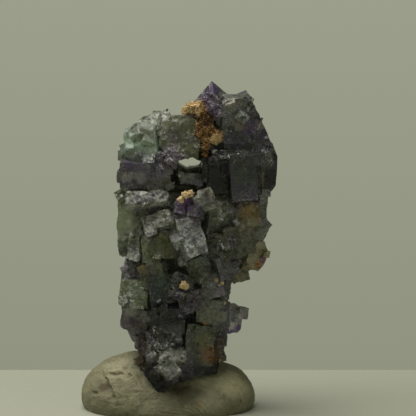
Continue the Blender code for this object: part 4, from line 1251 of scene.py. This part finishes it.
def putty_material(settings, lump):
    """Kneaded putty: warm and grey blotches, stains, dark specks, finger ridges and drawn-out scratches, with
    painted shade under the cluster, along the front and in the dent and pits, and painted light on its lobes.
    """
    paint = Paint("putty")
    x = paint.part(paint.mm, "X")
    z = paint.part(paint.mm, "Z")
    cloud = paint.noise(0.32, 4.0, 0.6, 0.3)
    grain = paint.noise(6.0, 4.0, 0.7)
    dust = paint.between(paint.cells(1.1), 0.03, 0.09, 1.0, 0.0)
    colour = paint.ramp(
        cloud * 0.7 + grain * 0.3,
        (0.32, settings.putty_shade),
        (0.50, settings.putty),
        (0.70, settings.putty_light),
    )
    patchy = paint.between(paint.noise(1.3, 7.0, 0.75), 0.40, 0.62, 0.0, 1.0)
    colour = paint.mix(patchy * 0.5, colour, settings.putty_shade)
    colour = paint.mix(dust * paint.between(grain, 0.52, 0.60) * 0.8, colour, (0.09, 0.07, 0.04))
    # Stains, with painted shade under the cluster, along the front and in the dent and pits, and painted light
    # on the lobes
    colour = paint.stain_light_and_shade(colour, PUTTY_STAINS_LIGHT_AND_SHADE, lump)
    wobble = paint.noise(0.35, 2.0, 0.5)
    flat = paint.stretched(paint.mm, (0.9, 0.0, 1.0))
    fan = (RIDGE_FAN.x * 0.9, 0.0, RIDGE_FAN.y)
    away = paint.node("ShaderNodeVectorMath", {"operation": "DISTANCE"}, [flat, fan], "Value")
    wave = (away + wobble * 0.6) * (2 * math.pi / (settings.ridge_spacing / METRES_PER_MM))
    ridges = paint.node("ShaderNodeMath", {"operation": "SINE"}, [wave])
    worn = paint.between(paint.noise(0.7, 3.0, 0.6), 0.36, 0.52)
    pressed = paint.between(x, 0.4, 1.6) * worn
    drawn = (z + x * 0.08 + wobble * 0.8) * (2 * math.pi / SCRATCH_SPACING)
    scratches = paint.node("ShaderNodeMath", {"operation": "SINE"}, [drawn])
    low = paint.between(z, 0.3, 2.0, 1.0, 0.0) * paint.between(x, -4.0, -2.0) * (1.0 - pressed)
    kneaded = paint.noise(0.9, 8.0, 0.68, 0.3)
    relief = paint.bump(kneaded, 0.9, 0.0011)
    crumb = paint.between(paint.cells(2.1), 0.04, 0.30)
    relief = paint.bump(crumb, 0.7, 0.00013, relief)
    relief = paint.bump(ridges * pressed + scratches * low * 0.45, 0.6, settings.ridge_depth, relief)
    relief = paint.bump(grain, 0.35, 0.00008, relief)
    paint.set(
        Base_Color=colour, Roughness=paint.between(grain + ridges * pressed * 0.1, 0.3, 0.75, 0.52, 0.74),
        Normal=relief, Specular_IOR_Level=0.35,
    )
    return paint.material


def plain_material(name, colour, roughness):
    """A plain sheet for the stage, with a faint grain."""
    paint = Paint(name)
    grain = paint.noise(1.2, 3.0, 0.6)
    shade = tuple(part * 0.95 for part in colour)
    paint.set(
        Base_Color=paint.mix(paint.between(grain, 0.3, 0.7), tuple(colour), shade),
        Roughness=roughness,
    )
    return paint.material


def dress(obj, material):
    """Gives a piece its one material."""
    obj.data.materials.clear()
    obj.data.materials.append(material)


def hand_over(obj, name, node=None):
    """Brings a finished piece to its place in metres, names it, hangs it on the body's empty and hides the
    part that it stands in for.
    """
    obj.name = name
    obj.data.name = name
    obj.data.transform(Matrix.Scale(METRES_PER_MM, 4) @ Matrix.Translation(SHIFT))
    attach(obj, BODY)
    if node:
        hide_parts(node)


def crusty_lumps(lumps, extra=0.0, fineness=4, seed=0.0):
    """Lumps of crumbly mineral with a wandering surface, joined as one; grown by extra for their bed."""
    found = []
    for centre, radius in lumps:
        bm = bmesh.new()
        bmesh.ops.create_icosphere(bm, subdivisions=fineness, radius=radius + extra)
        for vert in bm.verts:
            place = vert.co + Vector(centre)
            rough = (noise.noise(place * 1.5 + Vector((seed, 0, 0))) - 0.25) * 0.34
            fine = noise.noise(place * 4.2) * 0.22
            grains = noise.voronoi(place * 3.4)[0][0] * 0.55 - 0.12
            vert.co *= 1 + (rough + fine - grains) * (1.0 if extra == 0.0 else 0.3)
        bmesh.ops.translate(bm, vec=centre, verts=bm.verts)
        found.append(object_from(bm, "lump"))
    body = found[0]
    if len(found) > 1:
        boolean(body, "UNION", found[1:])
    return body


def sight_line(across, height):
    """Start and direction, in millimetres, of the line of sight through a place on the front plane."""
    start = Vector((across, -SIGHT_START, height + SIGHT_START * SIGHT_FALL))
    return start, Vector((0.0, 1.0, -SIGHT_FALL)).normalized()


def faces_of(obj):
    """A piece's faces, sorted for lines of sight."""
    return BVHTree.FromObject(obj, bpy.context.evaluated_depsgraph_get())


def seen_place(faces, across, height, to_mm=1.0, shift=Vector((0.0, 0.0, 0.0))):
    """Where a line of sight from the front meets a piece, in the part's millimetres, and the normal there."""
    start, way = sight_line(across, height)
    hit, normal, _, _ = faces.ray_cast((start + shift) / to_mm, way)
    if hit is None:
        raise RuntimeError(f"Nothing lies behind {across}, {height}")
    return hit * to_mm - shift, normal


def bright_blocks(cluster):
    """The bright little blocks, each set into the crystal in front of which it is seen."""
    found = []
    faces = faces_of(cluster)
    for across, height, size, angles, look in BRIGHT_BLOCKS:
        hit, _ = seen_place(faces, across, height)
        deep = GLINT_SET_BACK if look == "mirror" else BLOCK_SET_BACK
        found.append((hit + Vector((0.0, size[1] * deep, 0.0)), size, stance(*angles), 1.0, look))
    return found


def smooth_over(obj, degrees):
    """Shades a piece smoothly, apart from its sharp edges."""
    obj.data.shade_smooth()
    obj.data.set_sharp_from_angle(angle=math.radians(degrees))


def make_crystals(settings):
    """The fused crystals with their open window, the crust's bed and the druse."""
    crystals = all_crystals()
    worn = settings.worn_edge / METRES_PER_MM
    shapes = []
    for crystal in crystals:
        etched = max(crystal[1]) > ETCHED_OVER
        shapes.append(etched_crystal(*crystal) if etched else crystal_object(*crystal[:4], worn))
    cluster = shapes[0]
    boolean(cluster, "UNION", shapes[1:])
    bright = bright_blocks(cluster)
    crystals += bright
    boolean(cluster, "UNION", [crystal_object(*block[:4], worn) for block in bright])
    beds = [crusty_lumps(lumps, 0.02, 2) for lumps in CRUST_LUMPS.values()]
    boolean(cluster, "DIFFERENCE", [window_cutter()] + beds)
    keep_largest_shell(cluster)
    describe_faces(cluster.data, crystals)
    look = fluorite_material(settings, cluster)
    values = {
        "Material": look,
        "Spacing": settings.druse_spacing / METRES_PER_MM,
        "Most per area": settings.druse_density,
        "Smallest": settings.druse_smallest / METRES_PER_MM,
        "Largest": settings.druse_largest / METRES_PER_MM,
        "Stray turn": settings.druse_stray,
        "Seed": DRUSE_SEED,
    }
    apply_tree(cluster, druse_tree(), values)
    keep_largest_shell(cluster)
    describe_faces(cluster.data, crystals)
    dress(cluster, look)
    return cluster


def make_putty(settings):
    """The lump of putty, pressed flat below, with pits and dents and the print of the crystals' feet."""
    bm = bmesh.new()
    bmesh.ops.create_uvsphere(bm, u_segments=PUTTY_SEGMENTS, v_segments=PUTTY_RINGS, radius=1.0)
    ways = np.array([vert.co.normalized() for vert in bm.verts])
    points = PUTTY_CENTRE + ways * putty_surface(ways)[:, None]
    depth = np.array([
        0.30 * (0.5 + 0.5 * noise.noise(Vector(point) * 0.5))
        + 0.12 * (0.5 + 0.5 * noise.noise(Vector(point) * 1.6))
        + 0.10 * abs(noise.noise(Vector(point) * 3.0))
        + 0.05 * abs(noise.noise(Vector(point) * 6.5))
        for point in points
    ])
    for centre, half, deep in PUTTY_PITS:
        away = (((points - np.array(centre)) / np.array(half)) ** 2).sum(axis=1)
        depth += deep * np.exp(-0.8 * away * away)
    points -= ways * depth[:, None]
    points[:, 2] = np.maximum(points[:, 2], 0.0)
    for vert, point in zip(bm.verts, points):
        vert.co = point
    putty = object_from(bm, "putty")
    feet = []
    for centre, size, turned, corner, _ in all_crystals():
        if centre[2] - max(size) < PRINT_BELOW:
            bigger = [side + 2 * PRINT_GAP for side in size]
            feet.append(crystal_object(centre, bigger, turned, corner))
    boolean(putty, "DIFFERENCE", feet)
    keep_largest_shell(putty)
    dress(putty, putty_material(settings, putty))
    smooth_over(putty, 45)
    return putty


def lay_floor(settings):
    """A thin plain slab with a rounded rim, its back edge a little way behind the putty."""
    bm = bmesh.new()
    bmesh.ops.create_cube(bm, size=1.0)
    bmesh.ops.scale(bm, vec=FLOOR_SIZE, verts=bm.verts)
    bmesh.ops.translate(bm, vec=FLOOR_MIDDLE, verts=bm.verts)
    bmesh.ops.bevel(bm, geom=bm.edges[:], offset=FLOOR_RIM, segments=4, profile=0.5, affect="EDGES")
    floor = object_from(bm, "floor")
    floor.data.transform(Matrix.Scale(METRES_PER_MM, 4))
    floor.data.materials.append(plain_material("floor", settings.floor_colour, 0.55))
    smooth_over(floor, 30)


def area_light(name, power, place, size, colour):
    """A soft square light at a place in millimetres, turned to the middle of the cluster."""
    data = bpy.data.lights.new(name, "AREA")
    data.shape = "SQUARE"
    data.size = size * METRES_PER_MM
    data.energy = power
    data.color = colour
    light = bpy.data.objects.new(name, data)
    bpy.context.scene.collection.objects.link(light)
    light.location = Vector(place) * METRES_PER_MM
    light.rotation_euler = (Vector(VIEW_TARGET) - Vector(place)).to_track_quat("-Z", "Y").to_euler()


def light_scene(scene, settings):
    """Plain surroundings, a large soft light from the upper left and a weak one from the right."""
    scene.world = bpy.data.worlds.new("surroundings")
    scene.world.use_nodes = True
    tree = scene.world.node_tree
    view = tree.nodes.new("ShaderNodeTexCoord").outputs["Generated"]
    way = tree_node(tree, "ShaderNodeSeparateXYZ", {}, vector=view)
    rise = tree_node(
        tree, "ShaderNodeMapRange", {}, value=way.outputs["Z"], from_min=HORIZON[0], from_max=HORIZON[1]
    )
    tone = tree_node(
        tree, "ShaderNodeMix", {"data_type": "RGBA"}, factor=rise.outputs["Result"],
        a=(*settings.backdrop_low, 1.0), b=(*settings.backdrop_colour, 1.0),
    )
    seen = tree.nodes.new("ShaderNodeLightPath").outputs["Is Camera Ray"]
    level = tree_node(tree, "ShaderNodeMapRange", {}, value=seen, to_min=settings.ambient_share, to_max=1.0)
    background = tree.nodes["Background"]
    tree.links.new(tone.outputs[2], background.inputs["Color"])
    tree.links.new(level.outputs["Result"], background.inputs["Strength"])
    area_light("main_light", settings.key_power, *MAIN_LIGHT)
    area_light("fill_light", settings.fill_power, *FILL_LIGHT)
    scene.view_settings.view_transform = "Standard"


def place_camera(scene):
    """The camera, a little over the front of the cluster and looking slightly down."""
    data = bpy.data.cameras.new("camera")
    data.sensor_fit = "HORIZONTAL"
    data.sensor_width = 36.0
    data.lens = VIEW_LENS
    data.clip_start = 0.01
    data.clip_end = 10.0
    camera = bpy.data.objects.new("camera", data)
    scene.collection.objects.link(camera)
    back = Vector((0.0, -math.cos(VIEW_RISE), math.sin(VIEW_RISE)))
    distance = VIEW_WIDTH / data.sensor_width * VIEW_LENS
    camera.location = (Vector(VIEW_TARGET) + back * distance) * METRES_PER_MM
    camera.rotation_euler = (-back).to_track_quat("-Z", "Y").to_euler()
    scene.camera = camera


def length(name, description, default, low=0.0):
    """A setting in metres."""
    return bpy.props.FloatProperty(
        name=name, description=description, default=default, min=low, precision=5, unit="LENGTH"
    )


def tint(name, description, default):
    """A setting that holds a colour."""
    return bpy.props.FloatVectorProperty(
        name=name, description=description, default=default, min=0.0, max=1.0, subtype="COLOR"
    )


class CrystalSettings(bpy.types.PropertyGroup):
    worn_edge: length("Worn edge", "Width of the wear along the crystals' edges", 0.00009)
    druse_spacing: length(
        "Druse spacing", "Least distance between two little blocks of the druse", 0.00036, 0.0001
    )
    druse_density: bpy.props.FloatProperty(
        name="Druse density", description="Most little blocks on a square millimetre", default=4.0, min=0.0,
    )
    druse_smallest: length("Smallest block", "Shortest side of a block of the druse", 0.00012, 0.00002)
    druse_largest: length("Largest block", "Longest side of a block of the druse", 0.00042, 0.00002)
    druse_stray: bpy.props.FloatProperty(
        name="Stray turn", description="How far a block of the druse turns away from its host",
        default=0.8, min=0.0, subtype="ANGLE",
    )
    clear_share: bpy.props.FloatProperty(
        name="Clear share", description="How much of the stone's surface lets light through",
        default=0.55, min=0.5, max=1.0, subtype="FACTOR",
    )
    ior: bpy.props.FloatProperty(
        name="Index of refraction", description="How strongly fluorite bends light", default=1.434, min=1.0,
    )
    inside_colour: tint(
        "Inside colour", "Tint of light that has passed through the stone", (0.52, 0.56, 0.50)
    )
    inside_density: bpy.props.FloatProperty(
        name="Inside density", description="How quickly the stone swallows light, per metre",
        default=300.0, min=0.0,
    )
    violet: tint("Violet zones", "Colour of the violet growth zones", (0.13, 0.075, 0.21))
    bloom: tint("Bloom", "Colour of the frosted bloom on etched faces", (0.52, 0.54, 0.49))
    amber: tint("Amber chips", "Colour of the stone's few iron-stained chips", (0.34, 0.20, 0.07))
    # Also the colour of the painted glints and sparkles
    speck: tint("Specks", "Colour of the sugary specks", (0.86, 0.88, 0.80))


class CrustSettings(bpy.types.PropertyGroup):
    fibre_length: length("Fibre length", "Length of the rust's needles", 0.0006)
    fibre_thickness: length("Fibre thickness", "Radius of a needle's foot", 0.00003)
    fibres_per_area: bpy.props.FloatProperty(
        name="Fibres", description="Needles on a square millimetre", default=10.0, min=0.0,
    )
    rust_dark: tint("Dark rust", "Colour of the rust's hollows", (0.020, 0.010, 0.006))
    rust: tint("Rust", "Main colour of the rust", (0.17, 0.085, 0.028))
    rust_bright: tint("Bright rust", "Colour of the rust's orange crumbs", (0.50, 0.33, 0.12))
    cream: tint("Cream", "Main colour of the cream mineral", (0.60, 0.44, 0.22))
    cream_shade: tint("Cream shade", "Colour of the cream mineral's hollows", (0.26, 0.20, 0.12))


class PuttySettings(bpy.types.PropertyGroup):
    putty: tint("Putty", "Main colour of the putty", (0.265, 0.25, 0.14))
    putty_light: tint("Light putty", "Colour of the putty's paler parts", (0.34, 0.315, 0.20))
    putty_shade: tint("Grey putty", "Colour of the putty's greyer parts", (0.19, 0.18, 0.105))
    ridge_spacing: length("Ridge spacing", "Distance from one finger ridge to the next", 0.00042, 0.0001)
    ridge_depth: length("Ridge depth", "Height of the finger ridges over their grooves", 0.00010)


class StageSettings(bpy.types.PropertyGroup):
    floor_colour: tint("Floor", "Colour of the plain floor", (0.36, 0.37, 0.29))
    backdrop_colour: tint("Backdrop", "Colour of the plain surroundings", (0.328, 0.346, 0.258))
    backdrop_low: tint("Low backdrop", "Colour of the surroundings near the floor", (0.276, 0.290, 0.212))
    ambient_share: bpy.props.FloatProperty(
        name="Ambient share", description="How much of the surroundings' brightness lights the pieces",
        default=0.42, min=0.0, max=1.0, subtype="FACTOR",
    )
    key_power: bpy.props.FloatProperty(
        name="Main light", description="Power of the soft light from the upper left",
        default=1.05, min=0.0, unit="POWER",
    )
    fill_power: bpy.props.FloatProperty(
        name="Fill light", description="Power of the weak light from the right",
        default=0.06, min=0.0, unit="POWER",
    )


class FLUORITE_OT_crystals(bpy.types.Operator):
    """Grow the fused crystals with their window and their druse"""

    bl_idname = "fluorite.crystals"
    bl_label = "Fluorite crystals"

    def execute(self, context):
        cluster = make_crystals(context.scene.fluorite_crystals)
        hand_over(cluster, "crystals", "fluorite_cluster")
        return {"FINISHED"}


class FLUORITE_OT_crusts(bpy.types.Operator):
    """Make the rusty crust, the cream curl, the cream nodule and the crumbs that lie on the crystals"""

    bl_idname = "fluorite.crusts"
    bl_label = "Crusts and nodules"

    def execute(self, context):
        settings = context.scene.fluorite_crusts
        rust = rust_material(settings)
        crust = crusty_lumps(CRUST_LUMPS["iron_crust"])
        values = {
            "Material": rust,
            "Fibre material": fibre_material(settings),
            "Per area": settings.fibres_per_area,
            "Length": settings.fibre_length / METRES_PER_MM,
            "Thickness": settings.fibre_thickness / METRES_PER_MM,
            "Lean": FIBRE_LEAN,
            "Seed": FIBRE_SEED,
        }
        apply_tree(crust, fibre_tree(), values)
        cream = cream_material(settings)
        carrier = faces_of(bpy.data.objects["crystals"])
        crumbs = {"cream_crumbs": ("cream", CREAM_CRUMBS), "rusty_crumbs": ("crust", RUSTY_CRUMBS)}
        for name, (slot, places) in crumbs.items():
            lumps = []
            for across, height, radius in places:
                hit, normal = seen_place(carrier, across, height, 1 / METRES_PER_MM, SHIFT)
                lumps.append((hit - normal * radius * CRUMB_SUNK, radius))
            piece = crusty_lumps(lumps, seed=CRUMB_SEED)
            dress(piece, cream if slot == "cream" else rust)
            smooth_over(piece, 60)
            hand_over(piece, name)
        for name in ("cream_curl", "cream_nodule"):
            piece = crusty_lumps(CRUST_LUMPS[name])
            dress(piece, cream)
            smooth_over(piece, 60)
            hand_over(piece, name.replace("cream_", "chalky_"), name)
        hand_over(crust, "rusty_crust", "iron_crust")
        return {"FINISHED"}


class FLUORITE_OT_putty(bpy.types.Operator):
    """Knead the putty round the crystals' feet"""

    bl_idname = "fluorite.putty"
    bl_label = "Putty"

    def execute(self, context):
        hand_over(make_putty(context.scene.fluorite_putty), "putty_lump", "putty_base")
        return {"FINISHED"}


class FLUORITE_OT_stage(bpy.types.Operator):
    """Set out the floor, the plain surroundings, the soft lights and the camera"""

    bl_idname = "fluorite.stage"
    bl_label = "Stage"

    def execute(self, context):
        settings = context.scene.fluorite_stage
        lay_floor(settings)
        light_scene(context.scene, settings)
        place_camera(context.scene)
        return {"FINISHED"}


class FLUORITE_PT_pieces(bpy.types.Panel):
    """The pieces of the cluster, with their sizes and colours"""

    bl_idname = "FLUORITE_PT_pieces"
    bl_label = "Fluorite cluster"
    bl_space_type = "VIEW_3D"
    bl_region_type = "UI"
    bl_category = "Fluorite"

    def draw(self, context):
        for operator, group in PIECES.items():
            box = self.layout.box()
            box.operator(operator)
            settings = getattr(context.scene, group)
            for name in settings.bl_rna.properties.keys():
                if name not in ("rna_type", "name"):
                    box.prop(settings, name)


# Each operator, in the order in which they run, with the scene's settings that it reads
PIECES = {
    "fluorite.crystals": "fluorite_crystals",
    "fluorite.crusts": "fluorite_crusts",
    "fluorite.putty": "fluorite_putty",
    "fluorite.stage": "fluorite_stage",
}
SETTINGS = {
    "fluorite_crystals": CrystalSettings,
    "fluorite_crusts": CrustSettings,
    "fluorite_putty": PuttySettings,
    "fluorite_stage": StageSettings,
}
CLASSES = (
    *SETTINGS.values(),
    FLUORITE_OT_crystals,
    FLUORITE_OT_crusts,
    FLUORITE_OT_putty,
    FLUORITE_OT_stage,
    FLUORITE_PT_pieces,
)


def register():
    for cls in CLASSES:
        bpy.utils.register_class(cls)
    for name, group in SETTINGS.items():
        setattr(bpy.types.Scene, name, bpy.props.PointerProperty(type=group))


def unregister():
    for name in SETTINGS:
        delattr(bpy.types.Scene, name)
    for cls in reversed(CLASSES):
        bpy.utils.unregister_class(cls)


def main():
    register()
    bpy.ops.fluorite.crystals()
    bpy.ops.fluorite.crusts()
    bpy.ops.fluorite.putty()
    bpy.ops.fluorite.stage()


if __name__ == "__main__":
    main()
